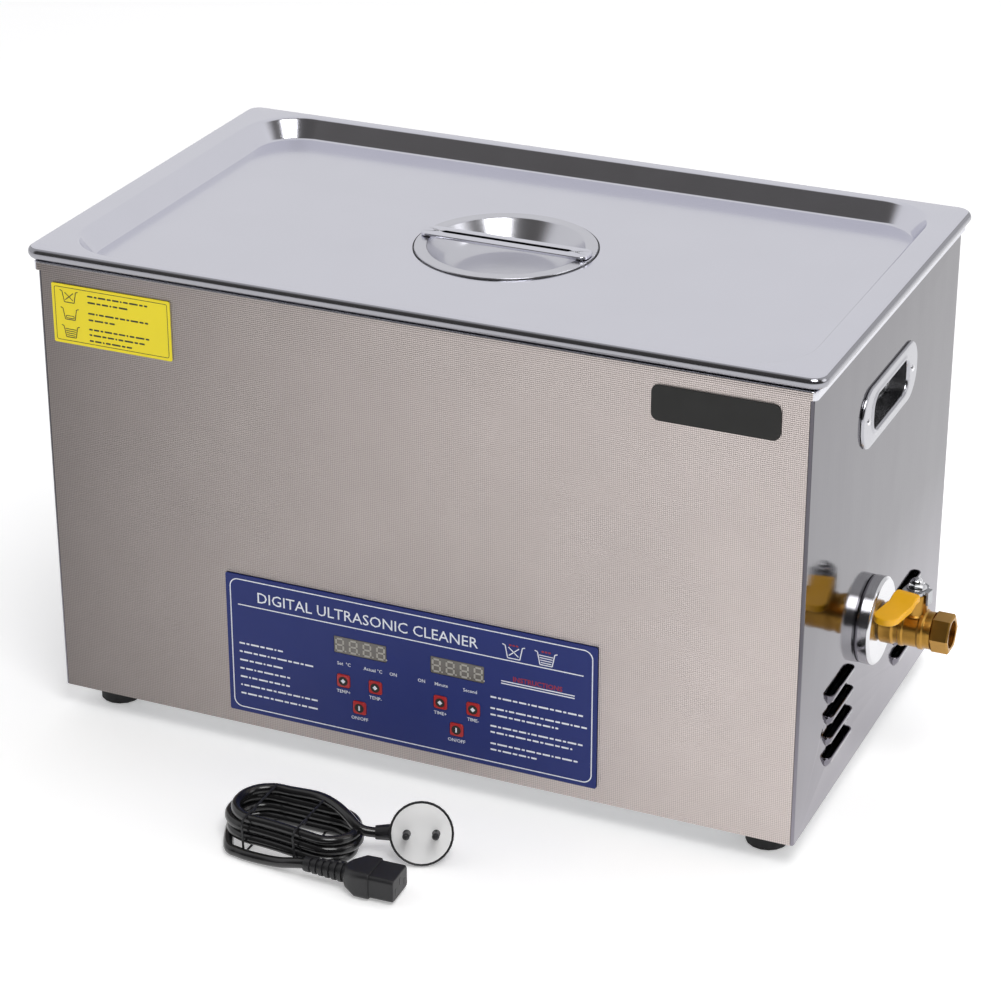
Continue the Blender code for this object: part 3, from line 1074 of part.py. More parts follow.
def build_plug():
    """A round two-pin plug lying on its tapered side, with its cable outlet at the left."""
    height = PLUG_RADIUS * math.cos(PLUG_TILT) + PLUG_CLEAR
    frame = empty("PLUG_FRAME", (*PLUG_CENTRE, height), (math.pi / 2 - PLUG_TILT, 0, PLUG_TURN))
    inner = PLUG_RADIUS - PLUG_RIM
    profile = [(-PLUG_DEPTH, 0.0), (-PLUG_DEPTH, PLUG_BACK_RADIUS - 0.0015),
               (-PLUG_DEPTH + 0.0015, PLUG_BACK_RADIUS), (-0.0010, PLUG_RADIUS - 0.0003),
               (0.0, PLUG_RADIUS - 0.0007), (0.0, inner), (-PLUG_FACE_INSET, inner), (-PLUG_FACE_INSET, 0.0)]
    plug = place("plug", turned_mesh(profile, "Z", 32), CORD_PLASTIC, parent=frame)
    back = [Vector((-BOSS_START, a, b - PLUG_BOSS_BACK)) for a, b in circle(BOSS_RADII[0], 14)]
    tip = [Vector((-BOSS_REACH, a, b - PLUG_BOSS_BACK)) for a, b in circle(BOSS_RADII[1], 14)]
    combine(plug, tool(loft_mesh([back, tip]), parent=frame), "UNION")
    face = place("plug_face", rod_mesh(inner - GAP, -PLUG_FACE_INSET + GAP, 0.0, "Z", steps=32),
                 WHITE_PLASTIC, parent=frame)
    for side in (-1, 1):
        x = side * PIN_SPACING / 2
        pin = [[Vector((px + x, py, z)) for px, py in circle(radius, 12)] for z, radius in
               ((-0.004, PIN_RADIUS), (PIN_LENGTH - 0.0012, PIN_RADIUS), (PIN_LENGTH, PIN_RADIUS * 0.55))]
        combine(plug, tool(loft_mesh(pin), parent=frame), "UNION")
        hole = rod_mesh(PIN_RADIUS + GAP, -0.004, 0.002, "Z", (x, 0), 12)
        combine(face, tool(hole, parent=frame), "DIFFERENCE")


def build_connector():
    """The three-slot connector for the appliance inlet, with a long strain relief."""
    rear, front = Vector(CONNECTOR_REAR), Vector(CONNECTOR_FRONT)
    run = front - rear
    height = CONNECTOR_HEIGHT / 2 + CONNECTOR_STEP + GAP
    frame = empty("CONNECTOR_FRAME", (*front, height), (0, 0, math.atan2(run.y, run.x)))
    half_y, half_z = CONNECTOR_WIDTH / 2, CONNECTOR_HEIGHT / 2
    step = CONNECTOR_STEP
    thick, thin = CONNECTOR_RELIEF_RADII[1], CONNECTOR_RELIEF_RADII[0]
    stations = [(0.0, half_y - 0.0008, half_z - 0.0008, 0.0018), (-0.0008, half_y, half_z, 0.0024),
                (-CONNECTOR_NOSE, half_y, half_z, 0.0024),
                (-CONNECTOR_NOSE, half_y + step, half_z + step, 0.0030),
                (-CONNECTOR_BODY + 0.0080, half_y + step, half_z + step, 0.0036),
                (-CONNECTOR_BODY, thick + 0.0030, thick + 0.0006, 0.0052),
                (-CONNECTOR_BODY - 0.0002, thick, thick, thick * 0.96),
                (-run.length, thin, thin, thin * 0.96)]
    loops = [on_yz(rounded_rectangle(y, z, corner, 3), x) for x, y, z, corner in stations]
    connector = place("cord_connector", loft_mesh(loops), CORD_PLASTIC, parent=frame)
    half_wide, half_high = SLOT_HALF
    for y, z in CONTACTS:
        slot = block_mesh((-SLOT_DEPTH, y - half_wide, z - half_high), (SHEET, y + half_wide, z + half_high))
        combine(connector, tool(slot, parent=frame), "DIFFERENCE")


def build_hank():
    """The closed outer shape of the tied hank."""
    half, radius = HANK_STRAIGHT / 2, HANK_END_RADIUS
    right = arc((half, 0), radius, -90, 90, 12)
    left = arc((-half, 0), radius, 90, 270, 12)
    outline = [(x + HANK_CENTRE[0], y + HANK_CENTRE[1]) for x, y in right + left]
    place("cord_hank", loft_mesh([on_xy(outline, GAP), on_xy(outline, HANK_HEIGHT)]), CORD_PLASTIC)


def build_lead():
    """The whole lead: plug, short free stretch, hank, free stretch and connector."""
    build_plug()
    build_connector()
    build_hank()
    build_cable("cord_to_connector", CONNECTOR_ROUTE)
    build_cable("cord_to_plug", PLUG_ROUTE)


build_side(-1, "side_panel_left")
build_side(1, "side_panel_right")
build_front()
build_rear()
build_base()
build_tank()
build_transducers()
build_heater()
build_generator()
build_display_board()
build_fan()
build_inlet()
build_switch()
build_control_panel()
build_foils()
build_handle(-1, "handle_left")
build_handle(1, "handle_right")
build_drain()
build_valve()
build_lid()
build_grip()
build_lead()
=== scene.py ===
"""Studio scene of a thirty litre bench-top ultrasonic cleaner with its unplugged mains lead.

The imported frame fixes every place.  The classes below build finer pieces over it and dress
them.  Units are metres: +X right, towards the drain valve, +Y to the rear, +Z up.
"""
from __future__ import annotations

import logging
import math
from dataclasses import dataclass, field
from enum import Enum
from typing import Iterable, Mapping, Optional, Sequence, Union

import bmesh
import bpy
from mathutils import Matrix, Vector

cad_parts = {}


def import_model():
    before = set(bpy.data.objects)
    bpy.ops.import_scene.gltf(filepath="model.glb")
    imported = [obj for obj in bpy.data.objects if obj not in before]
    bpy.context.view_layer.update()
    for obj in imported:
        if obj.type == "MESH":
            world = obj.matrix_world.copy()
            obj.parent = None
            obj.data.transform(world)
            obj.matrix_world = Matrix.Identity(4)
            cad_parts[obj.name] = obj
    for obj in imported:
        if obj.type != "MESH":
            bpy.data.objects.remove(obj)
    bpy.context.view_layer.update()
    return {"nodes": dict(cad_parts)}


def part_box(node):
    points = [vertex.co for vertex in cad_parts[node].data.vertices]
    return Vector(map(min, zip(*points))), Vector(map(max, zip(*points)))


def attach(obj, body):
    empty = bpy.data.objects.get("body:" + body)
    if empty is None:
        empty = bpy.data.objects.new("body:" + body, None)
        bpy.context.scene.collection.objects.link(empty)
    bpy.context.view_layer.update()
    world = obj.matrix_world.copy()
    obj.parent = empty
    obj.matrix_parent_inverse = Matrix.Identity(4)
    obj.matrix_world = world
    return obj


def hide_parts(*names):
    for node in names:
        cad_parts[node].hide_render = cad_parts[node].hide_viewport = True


LOG = logging.getLogger("cleaner")
Colour = tuple[float, float, float]
Point = tuple[float, float]
Value = Union["Socket", float, int]

SKIN = 0.00006                 # thickness of printing ink
WELD = 0.000002                # points closer than this are one
FLOOR_GAP = 0.0003             # the studio floor lies this far below the feet


# ---------------------------------------------------------------- shader maths
class Socket:
    """A shader value that Python arithmetic works on.

    Args:
        graph: The material graph that the value belongs to.
        output: The node output that carries it.
    """

    def __init__(self, graph: "Graph", output: bpy.types.NodeSocket) -> None:
        """Wrap one output of one node."""
        self.graph = graph
        self.output = output

    def _maths(self, operation: str, *values: Value) -> "Socket":
        """Add a Math node for one operation."""
        return self.graph.node("ShaderNodeMath", {"operation": operation}, dict(enumerate(values)))

    def __add__(self, other: Value) -> "Socket":
        """Return self + other."""
        return self._maths("ADD", self, other)

    def __radd__(self, other: Value) -> "Socket":
        """Return other + self."""
        return self._maths("ADD", other, self)

    def __sub__(self, other: Value) -> "Socket":
        """Return self - other."""
        return self._maths("SUBTRACT", self, other)

    def __rsub__(self, other: Value) -> "Socket":
        """Return other - self."""
        return self._maths("SUBTRACT", other, self)

    def __mul__(self, other: Value) -> "Socket":
        """Return self * other."""
        return self._maths("MULTIPLY", self, other)

    def __rmul__(self, other: Value) -> "Socket":
        """Return other * self."""
        return self._maths("MULTIPLY", other, self)

    def sine(self) -> "Socket":
        """Return the sine of self, in radians."""
        return self._maths("SINE", self)

    def clamped(self, low: float, high: float) -> "Socket":
        """Return self kept between two limits."""
        return self._maths("MAXIMUM", self._maths("MINIMUM", self, high), low)


class Graph:
    """The node graph of one material, or of the world.

    Args:
        owner: The material or the world.
        shader: The name of its main shader node.
    """

    def __init__(self, owner: Union[bpy.types.Material, bpy.types.World],
                 shader: str = "Principled BSDF") -> None:
        """Find the owner's shader."""
        owner.use_nodes = True
        self.tree = owner.node_tree
        self.shader = self.tree.nodes[shader]

    def node(self, kind: str, settings: Optional[Mapping[str, object]] = None,
             values: Optional[Mapping[Union[str, int], object]] = None, output: int = 0) -> Socket:
        """Add a node.

        Args:
            kind: The node's type name.
            settings: Properties set first; "stops" fills a colour ramp.
            values: Constants or links for its sockets.
            output: Which output to return.

        Returns:
            The chosen output.
        """
        node = self.tree.nodes.new(kind)
        for name, value in (settings or {}).items():
            if name == "stops":
                self._fill_ramp(node.color_ramp, value)
            else:
                setattr(node, name, value)
        for name, value in (values or {}).items():
            self.feed(node.inputs[name], value)
        return Socket(self, node.outputs[output])

    @staticmethod
    def _fill_ramp(ramp: bpy.types.ColorRamp, stops: Sequence[tuple[float, Colour]]) -> None:
        """Set a colour ramp's stops."""
        while len(ramp.elements) > len(stops):
            ramp.elements.remove(ramp.elements[-1])
        while len(ramp.elements) < len(stops):
            ramp.elements.new(1.0)
        for element, (place, colour) in zip(ramp.elements, stops):
            element.position = place
            element.color = (*colour, 1.0)

    def feed(self, socket: bpy.types.NodeSocket, value: object) -> None:
        """Link a value to a socket, or set it."""
        if isinstance(value, Socket):
            self.tree.links.new(value.output, socket)
        else:
            socket.default_value = value

    def set(self, **values: object) -> None:
        """Feed the shader's sockets; underscores stand for spaces."""
        for name, value in values.items():
            self.feed(self.shader.inputs[name.replace("_", " ")], value)

    def coordinates(self) -> Socket:
        """Return the piece's own coordinates."""
        return self.node("ShaderNodeTexCoord", output=3)

    def axes(self) -> tuple[Socket, Socket, Socket]:
        """Return the piece's own X, Y and Z."""
        split = self.node("ShaderNodeSeparateXYZ", None, {0: self.coordinates()})
        outputs = split.output.node.outputs
        return Socket(self, outputs[0]), Socket(self, outputs[1]), Socket(self, outputs[2])

    def noise(self, scale: float, stretch: Colour = (1, 1, 1), detail: float = 3.0) -> Socket:
        """Return smooth noise.

        Args:
            scale: Lumps in a metre.
            stretch: How much finer the noise is along X, Y and Z.
            detail: Finer layers.

        Returns:
            The noise, about 0 to 1.
        """
        place = self.node("ShaderNodeMapping", None, {"Vector": self.coordinates(), "Scale": stretch})
        return self.node("ShaderNodeTexNoise", None,
                         {"Vector": place, "Scale": scale, "Detail": detail})

    def blend(self, share: Value, first: object, second: object) -> Socket:
        """Mix two colours, each a colour or a link."""
        colours = [(*c, 1.0) if isinstance(c, tuple) else c for c in (first, second)]
        return self.node("ShaderNodeMix", {"data_type": "RGBA"},
                         {0: share, 6: colours[0], 7: colours[1]}, 2)

    def shade(self, colour: Socket, share: Socket) -> Socket:
        """Return a colour multiplied by a share."""
        return self.node("ShaderNodeMix", {"data_type": "RGBA", "blend_type": "MULTIPLY"},
                         {0: 1.0, 6: colour, 7: share}, 2)

    def bump(self, height: Socket, depth: float, under: Optional[Socket] = None) -> Socket:
        """Return a normal for a height field.

        Args:
            height: The relief, about 0 to 1.
            depth: What one unit of height stands for, in metres.
            under: A coarser normal to build on.

        Returns:
            The normal.
        """
        values = {"Height": height, "Strength": 1.0, "Distance": depth}
        if under is not None:
            values["Normal"] = under
        return self.node("ShaderNodeBump", None, values)


# ---------------------------------------------------------------- finishes
class Grain(Enum):
    """How a surface was worked, as the stretch of its fine noise."""

    PLAIN = (1.0, 1.0, 1.0)
    BRUSHED_ALONG_X = (0.02, 1.0, 1.0)
    BRUSHED_ALONG_Z = (1.0, 1.0, 0.02)
    TURNED_ABOUT_X = (1.0, 0.05, 0.05)


@dataclass(frozen=True)
class Finish:
    """A material with drifting colour, uneven gloss and fine relief.

    Args:
        name: The material's name.
        colour: Main colour, linear.
        roughness: Mean roughness.
        metallic: 1 for bare metal.
        drift: Share by which the colour darkens in patches.
        patches: Patches in a metre.
        smear: How far the roughness swings.
        grain: Direction of the fine relief.
        grain_scale: Marks in a metre.
        relief: Depth of the fine relief, in metres.
        coat: Clear coat over it.
    """

    name: str
    colour: Colour
    roughness: float
    metallic: float = 0.0
    drift: float = 0.12
    patches: float = 22.0
    smear: float = 0.06
    grain: Grain = Grain.PLAIN
    grain_scale: float = 900.0
    relief: float = 0.00002
    coat: float = 0.0

    def tones(self, graph: Graph) -> Socket:
        """Return the colour, darkened in patches."""
        deep = tuple(c * (1 - self.drift) for c in self.colour)
        return graph.blend(graph.noise(self.patches), deep, self.colour)

    def gloss(self, graph: Graph) -> Socket:
        """Return the roughness, with handling smears."""
        smears = graph.noise(self.patches * 2.3, (1, 1, 0.6), 4.0)
        return (smears - 0.5) * (2 * self.smear) + self.roughness

    def normal(self, graph: Graph) -> Socket:
        """Return the fine relief."""
        return graph.bump(graph.noise(self.grain_scale, self.grain.value, 2.0), self.relief)

    def material(self) -> bpy.types.Material:
        """Return the material, made once."""
        title = f"{self.name}_finish"
        made = bpy.data.materials.get(title)
        if made is not None:
            return made
        made = bpy.data.materials.new(title)
        graph = Graph(made)
        graph.set(Base_Color=self.tones(graph), Roughness=self.gloss(graph).clamped(0.02, 1.0),
                  Metallic=self.metallic, Normal=self.normal(graph), Coat_Weight=self.coat,
                  Coat_Roughness=0.08)
        return made


@dataclass(frozen=True)
class EmbossedSteel(Finish):
    """Stainless sheet rolled with a fine diamond weave.

    Args:
        pitch: Distance from one diamond to the next, in metres.
        stamp: Depth of the weave, in metres.
        valley_shade: Painted shade in the weave's valleys: their brightness as a share of its tops'.
        left_shade_start: Where the painted shade towards the left end starts.
        left_shade_run: How far to the left the painted shade deepens.
        left_shade_depth: Share by which the painted shade has darkened the sheet there.
    """

    pitch: float = 0.0027
    stamp: float = 0.00026
    valley_shade: float = 0.62
    left_shade_start: float = 0.18
    left_shade_run: float = 0.47
    left_shade_depth: float = 0.63

    def weave(self, graph: Graph) -> Socket:
        """Return the weave's height, 0 to 1."""
        x, y, z = graph.axes()
        turn = 2 * math.pi / self.pitch
        wave = ((x + y + z) * turn).sine() * ((x + y - z) * turn).sine()
        return wave * 0.5 + 0.5

    def tones(self, graph: Graph) -> Socket:
        """Return the steel's colour, with painted shade in the weave's valleys and painted shade
        towards the left end.
        """
        # Painted shade: the weave's valleys are darkened in the colour.
        valley_shade = tuple(c * self.valley_shade for c in self.colour)
        weave = graph.blend(self.weave(graph), valley_shade, self.colour)
        # Painted shade: the colour darkens towards the left end, standing in for the light falling off
        # there; random patches are multiplied in.
        x, _, _ = graph.axes()
        gone = ((self.left_shade_start - x) * (1 / self.left_shade_run)).clamped(0.0, 1.0)
        shade = 1.0 - gone * (gone + 1.0) * (self.left_shade_depth / 2)
        shade_and_patches = shade * (1.0 - graph.noise(self.patches) * self.drift)
        return graph.shade(weave, shade_and_patches)

    def normal(self, graph: Graph) -> Socket:
        """Return the weave over the fine grain."""
        return graph.bump(self.weave(graph), self.stamp, super().normal(graph))


@dataclass(frozen=True)
class WavyMirror(Finish):
    """Polished sheet whose surface rolls gently, so that what it mirrors wavers.

    Args:
        swell: Depth of the slow waves, in metres.
        foot_highlight: Painted light towards the sheet's foot, as the share by which the foot is
            brighter.
        foot_highlight_height: Height at which that painted light ends, in metres.
    """

    swell: float = 0.00018
    foot_highlight: float = 1.6
    foot_highlight_height: float = 0.16

    def tones(self, graph: Graph) -> Socket:
        """Return the colour, with painted light making it brighter towards the sheet's foot."""
        _, _, z = graph.axes()
        # Painted light: the colour is raised towards the sheet's foot.
        foot_highlight_scale = (1.0 - z * (1 / self.foot_highlight_height)).clamped(0.0, 1.0) * self.foot_highlight + 1.0
        return graph.shade(super().tones(graph), foot_highlight_scale)

    def normal(self, graph: Graph) -> Socket:
        """Return slow waves under the polishing marks."""
        waves = graph.bump(graph.noise(26.0, (1, 1, 0.5), 1.0), self.swell)
        return graph.bump(graph.noise(self.grain_scale, self.grain.value, 2.0), self.relief, waves)


EMBOSSED = EmbossedSteel("embossed_steel", (0.80, 0.715, 0.685), 0.36, 1.0, drift=0.10,
                         grain=Grain.BRUSHED_ALONG_Z)
MIRROR = WavyMirror("mirror_sheet", (0.112, 0.106, 0.122), 0.07, 1.0, smear=0.03, drift=0.05,
                    grain=Grain.BRUSHED_ALONG_Z, swell=0.0002)
LID_STEEL = Finish("lid_steel", (0.75, 0.75, 0.82), 0.16, 1.0, drift=0.04, smear=0.03,
                   grain=Grain.BRUSHED_ALONG_X, relief=0.000006)
# Painted shade: a darker copy of the lid's steel, for the lid's rolled edge.
SHADED_EDGE_STEEL = Finish("shaded_edge_steel", (0.36, 0.36, 0.39), 0.16, 1.0, drift=0.04, smear=0.03,
                    grain=Grain.BRUSHED_ALONG_X, relief=0.000006)
GRIP_STEEL = Finish("grip_steel", (0.44, 0.44, 0.47), 0.16, 1.0, drift=0.06, smear=0.04,
                    relief=0.000006)
SHADED_STEEL = Finish("shaded_steel", (0.30, 0.30, 0.31), 0.25, 1.0, relief=0.000006)
PRESSED = Finish("pressed_steel", (0.68, 0.68, 0.73), 0.22, 1.0, drift=0.06, smear=0.04,
                 relief=0.000006)
TURNED = Finish("turned_steel", (0.72, 0.72, 0.74), 0.20, 1.0, drift=0.08,
                grain=Grain.TURNED_ABOUT_X)
ZINC = Finish("zinc_steel", (0.55, 0.56, 0.58), 0.36, 1.0, drift=0.18, patches=60.0)
CHROME = Finish("chrome", (0.82, 0.82, 0.84), 0.07, 1.0, drift=0.04, smear=0.03, relief=0.000004)
CAST_BRASS = Finish("cast_brass", (0.50, 0.27, 0.055), 0.30, 1.0, drift=0.28, patches=120.0,
                    grain_scale=1600.0, relief=0.00005)
CUT_BRASS = Finish("cut_brass", (0.62, 0.42, 0.13), 0.22, 1.0, drift=0.16, patches=90.0,
                   grain=Grain.TURNED_ABOUT_X, grain_scale=2500.0, relief=0.00003)
VINYL = Finish("yellow_vinyl", (1.0, 0.50, 0.006), 0.36, drift=0.14, patches=70.0, relief=0.00004)
OVERLAY = Finish("blue_overlay", (0.001, 0.015, 0.170), 0.55, drift=0.10, patches=30.0,
                 relief=0.000008)
WHITE_INK = Finish("white_ink", (0.86, 0.89, 0.96), 0.5, drift=0.05)
RED_INK = Finish("red_ink", (0.34, 0.012, 0.03), 0.5, drift=0.08)
BLACK_INK = Finish("black_ink", (0.035, 0.032, 0.012), 0.5, drift=0.08)
KEY_RED = Finish("key_red", (0.50, 0.008, 0.012), 0.34, drift=0.10, patches=160.0, coat=0.2)
DISPLAY = Finish("display_window", (0.150, 0.137, 0.122), 0.22, drift=0.12, patches=90.0, coat=0.5)
SEGMENT = Finish("display_segment", (0.43, 0.41, 0.37), 0.4, drift=0.10, patches=200.0)
YELLOW_FOIL = Finish("yellow_foil", (1.0, 0.82, 0.010), 0.48, drift=0.06, patches=40.0)
BLACK_FOIL = Finish("black_foil", (0.008, 0.008, 0.007), 0.62, drift=0.25, patches=50.0)
PVC = Finish("cord_pvc", (0.010, 0.010, 0.011), 0.20, drift=0.25, patches=60.0, relief=0.00003,
             coat=0.3)
PLUG_BLACK = Finish("plug_black", (0.014, 0.014, 0.016), 0.44, drift=0.18, patches=60.0,
                    grain_scale=1500.0, relief=0.00004)
PLUG_WHITE = Finish("plug_white", (0.97, 0.97, 0.97), 0.45, drift=0.02)
# Painted shade: the dark of the gap round the grip dish's ring.
PAINTED_GAP_SHADE = Finish("painted_gap_shade", (0.010, 0.010, 0.011), 0.6, drift=0.2)
BLACK_NYLON = Finish("black_nylon", (0.018, 0.018, 0.020), 0.46, drift=0.15, patches=60.0)
RUBBER = Finish("black_rubber", (0.020, 0.020, 0.021), 0.72, drift=0.25, patches=80.0, relief=0.00005)
BOARD = Finish("circuit_board", (0.02, 0.17, 0.06), 0.40, drift=0.35, patches=260.0, coat=0.3)
COPPER = Finish("copper_winding", (0.60, 0.25, 0.09), 0.34, 1.0, drift=0.25, grain_scale=1400.0,
                grain=Grain.TURNED_ABOUT_X, relief=0.0002)
ALLOY = Finish("transducer_alloy", (0.66, 0.66, 0.68), 0.32, 1.0, grain=Grain.BRUSHED_ALONG_X)
SILICONE = Finish("heater_silicone", (0.50, 0.10, 0.03), 0.55, drift=0.15, relief=0.00006)


# ---------------------------------------------------------------- forms
def at(x: float, y: float, z: float) -> Matrix:
    """Return a move to a place."""
    return Matrix.Translation((x, y, z))


def facing(place: Sequence[float], out: Sequence[float], up: Sequence[float] = (0, 0, 1)) -> Matrix:
    """Return the frame of a face: its Z looks out of the face and its Y looks up.

    Args:
        place: The face's origin.
        out: The direction that it faces.
        up: Roughly up, as seen on the face.

    Returns:
        The frame.
    """
    z = Vector(out).normalized()
    x = Vector(up).cross(z).normalized()
    turn = Matrix((x, z.cross(x), z)).transposed()
    return Matrix.Translation(place) @ turn.to_4x4()


@dataclass(frozen=True)
class Outline:
    """A rounded rectangle about its own middle.

    Args:
        half_x: Half its length.
        half_y: Half its width.
        radius: Corner radius.
        steps: Facets in a corner.
    """

    half_x: float
    half_y: float
    radius: float
    steps: int = 10

    def grown(self, by: float) -> "Outline":
        """Return the outline offset outwards."""
        return Outline(self.half_x + by, self.half_y + by, max(self.radius + by, 0.0004), self.steps)


def rounded_path(corners: Sequence[tuple[float, float, float]], steps: int = 6) -> list[Point]:
    """Return a path whose corners are rounded.

    Args:
        corners: Each corner's two coordinates and its radius.
        steps: Facets in a corner.

    Returns:
        The points along the path.
    """
    points = [Vector(c[:2]) for c in corners]
    path = [tuple(points[0])]
    for before, corner, after, (_, _, radius) in zip(points, points[1:], points[2:], corners[1:]):
        back, forth = (before - corner).normalized(), (after - corner).normalized()
        half = back.angle(forth) / 2
        if radius <= 0 or half > math.radians(89):
            path.append(tuple(corner))
            continue
        middle = corner + (back + forth).normalized() * (radius / math.sin(half))
        start = corner + back * (radius / math.tan(half)) - middle
        end = corner + forth * (radius / math.tan(half)) - middle
        sweep = start.angle_signed(end)
        for step in range(steps + 1):
            turned = Matrix.Rotation(-sweep * step / steps, 2) @ start
            path.append(tuple(middle + turned))
    path.append(tuple(points[-1]))
    return path


class Form:
    """A piece under construction: a bmesh and the operators that shape it."""

    def __init__(self) -> None:
        """Start empty."""
        self.mesh = bmesh.new()

    def ring(self, outline: Outline, place: Matrix, fill: bool = False) -> list[bmesh.types.BMEdge]:
        """Add a rounded rectangle.

        Args:
            outline: Its shape.
            place: Its frame.
            fill: Keep its face.

        Returns:
            Its edges.
        """
        size = Matrix.Diagonal((outline.half_x, outline.half_y, 1, 1))
        before = set(self.mesh.edges)
        made = bmesh.ops.create_grid(self.mesh, x_segments=1, y_segments=1, size=1.0,
                                     matrix=place @ size)
        if outline.radius > 0:
            bmesh.ops.bevel(self.mesh, geom=made["verts"], offset=outline.radius, offset_type="OFFSET",
                            segments=outline.steps, profile=0.5, affect="VERTICES",
                            clamp_overlap=False, material=-1)
        edges = [e for e in self.mesh.edges if e not in before]
        if not fill:
            faces = {f for e in edges for f in e.link_faces}
            bmesh.ops.delete(self.mesh, geom=list(faces), context="FACES_ONLY")
        return edges

    def circle(self, radius: float, place: Matrix, steps: int = 48,
               fill: bool = False) -> list[bmesh.types.BMEdge]:
        """Add a circle and return its edges."""
        before = set(self.mesh.edges)
        bmesh.ops.create_circle(self.mesh, cap_ends=fill, segments=steps, radius=radius, matrix=place)
        return [e for e in self.mesh.edges if e not in before]

    def bridge(self, first: list[bmesh.types.BMEdge], second: list[bmesh.types.BMEdge]) -> None:
        """Join two loops with faces."""
        bmesh.ops.bridge_loops(self.mesh, edges=first + second)

    def chain(self, loops: Sequence[list[bmesh.types.BMEdge]]) -> None:
        """Join each loop to the next."""
        for first, second in zip(loops, loops[1:]):
            self.bridge(first, second)

    def loft(self, stations: Sequence[tuple[Outline, float]], place: Matrix,
             caps: tuple[bool, bool] = (True, True)) -> "Form":
        """Join rounded rectangles stacked along the frame's Z.

        Args:
            stations: Each outline and its height.
            place: The frame.
            caps: Whether to close the first and the last.

        Returns:
            This form.
        """
        last = len(stations) - 1
        rings = []
        for index, (outline, height) in enumerate(stations):
            fill = (index == 0 and caps[0]) or (index == last and caps[1])
            rings.append(self.ring(outline, place @ at(0, 0, height), fill))
        self.chain(rings)
        return self

    def turn(self, path: Sequence[Point], place: Matrix, steps: int = 64) -> "Form":
        """Spin a profile about the frame's Z.

        Args:
            path: Radius and height of each point.
            place: The frame.
            steps: Facets round.

        Returns:
            This form.
        """
        points = [bmesh.ops.create_vert(self.mesh, co=place @ Vector((max(r, 0.0), 0, h)))["vert"][0]
                  for r, h in path]
        edges = [self.mesh.edges.new(pair) for pair in zip(points, points[1:])]
        axis = place.to_3x3() @ Vector((0, 0, 1))
        bmesh.ops.spin(self.mesh, geom=points + edges, cent=place.translation, axis=axis,
                       angle=2 * math.pi, steps=steps, use_merge=True)
        return self

    def box(self, low: Sequence[float], high: Sequence[float], place: Matrix = Matrix(),
            soft: float = 0.0, steps: int = 2) -> "Form":
        """Add a block with eased edges.

        Args:
            low: Its lowest corner.
            high: Its highest corner.
            place: The frame of both.
            soft: Edge radius.
            steps: Facets in an edge.

        Returns:
            This form.
        """
        middle = Matrix.Translation((Vector(low) + Vector(high)) / 2)
        size = Matrix.Diagonal((*(Vector(high) - Vector(low)), 1))
        made = bmesh.ops.create_cube(self.mesh, size=1.0, matrix=place @ middle @ size)
        if soft > 0:
            edges = list({e for v in made["verts"] for e in v.link_edges})
            self._bevel(edges, soft, steps)
        return self

    def rod(self, start: Sequence[float], end: Sequence[float], radius: float,
            tip: Optional[float] = None, steps: int = 24, soft: float = 0.0) -> "Form":
        """Add a rod or a cone between two points.

        Args:
            start: Middle of its first end.
            end: Middle of its second end.
            radius: Radius at the first end.
            tip: Radius at the second end, when it differs.
            steps: Facets round.
            soft: Radius of the edges at its ends.

        Returns:
            This form.
        """
        run = Vector(end) - Vector(start)
        turn = Vector((0, 0, 1)).rotation_difference(run).to_matrix().to_4x4()
        place = Matrix.Translation((Vector(start) + Vector(end)) / 2) @ turn
        made = bmesh.ops.create_cone(self.mesh, cap_ends=True, segments=steps, radius1=radius,
                                     radius2=radius if tip is None else tip, depth=run.length,
                                     matrix=place)
        if soft > 0:
            ends = {e for v in made["verts"] for e in v.link_edges
                    if abs((e.verts[0].co - e.verts[1].co).dot(run)) < 1e-9}
            self._bevel(list(ends), soft, 2)
        return self

    def _bevel(self, edges: list[bmesh.types.BMEdge], radius: float, steps: int) -> None:
        """Round some edges."""
        bmesh.ops.bevel(self.mesh, geom=edges, offset=radius, offset_type="OFFSET", segments=steps,
                        profile=0.5, affect="EDGES", clamp_overlap=True, material=-1)

    def tidy(self) -> "Form":
        """Merge doubles and turn every face outwards."""
        bmesh.ops.remove_doubles(self.mesh, verts=self.mesh.verts, dist=WELD)
        bmesh.ops.recalc_face_normals(self.mesh, faces=self.mesh.faces)
        return self

    def thicken(self, depth: float) -> "Form":
        """Give a sheet its thickness."""
        bmesh.ops.solidify(self.mesh, geom=list(self.mesh.faces), thickness=depth)
        return self

    def plate(self, edges: Iterable[bmesh.types.BMEdge]) -> "Form":
        """Fill loops, the inner ones as holes."""
        bmesh.ops.triangle_fill(self.mesh, use_beauty=True, use_dissolve=False, edges=list(edges))
        return self

    def add(self, data: bpy.types.Mesh, place: Matrix = Matrix()) -> "Form":
        """Take in a copy of a mesh."""
        copy = data.copy()
        copy.transform(place)
        self.mesh.from_mesh(copy)
        bpy.data.meshes.remove(copy)
        return self

    def words(self, text: str, height: float, place: Matrix, centred: bool = False,
              weight: float = 0.0) -> "Form":
        """Add generic lettering as flat faces.

        Args:
            text: The words.
            height: Height of a capital.
            place: The frame of the baseline's start or middle.
            centred: Centre the words on the frame.
            weight: How much the strokes are fattened, as a share of the height.

        Returns:
            This form.
        """
        curve = bpy.data.curves.new("lettering", "FONT")
        curve.body = text
        curve.size = height / 0.72
        curve.offset = height * weight
        curve.resolution_u = 2
        curve.align_x = "CENTER" if centred else "LEFT"
        holder = bpy.data.objects.new("lettering", curve)
        data = bpy.data.meshes.new_from_object(holder)
        bpy.data.objects.remove(holder)
        self.add(data, place)
        bpy.data.meshes.remove(data)
        return self

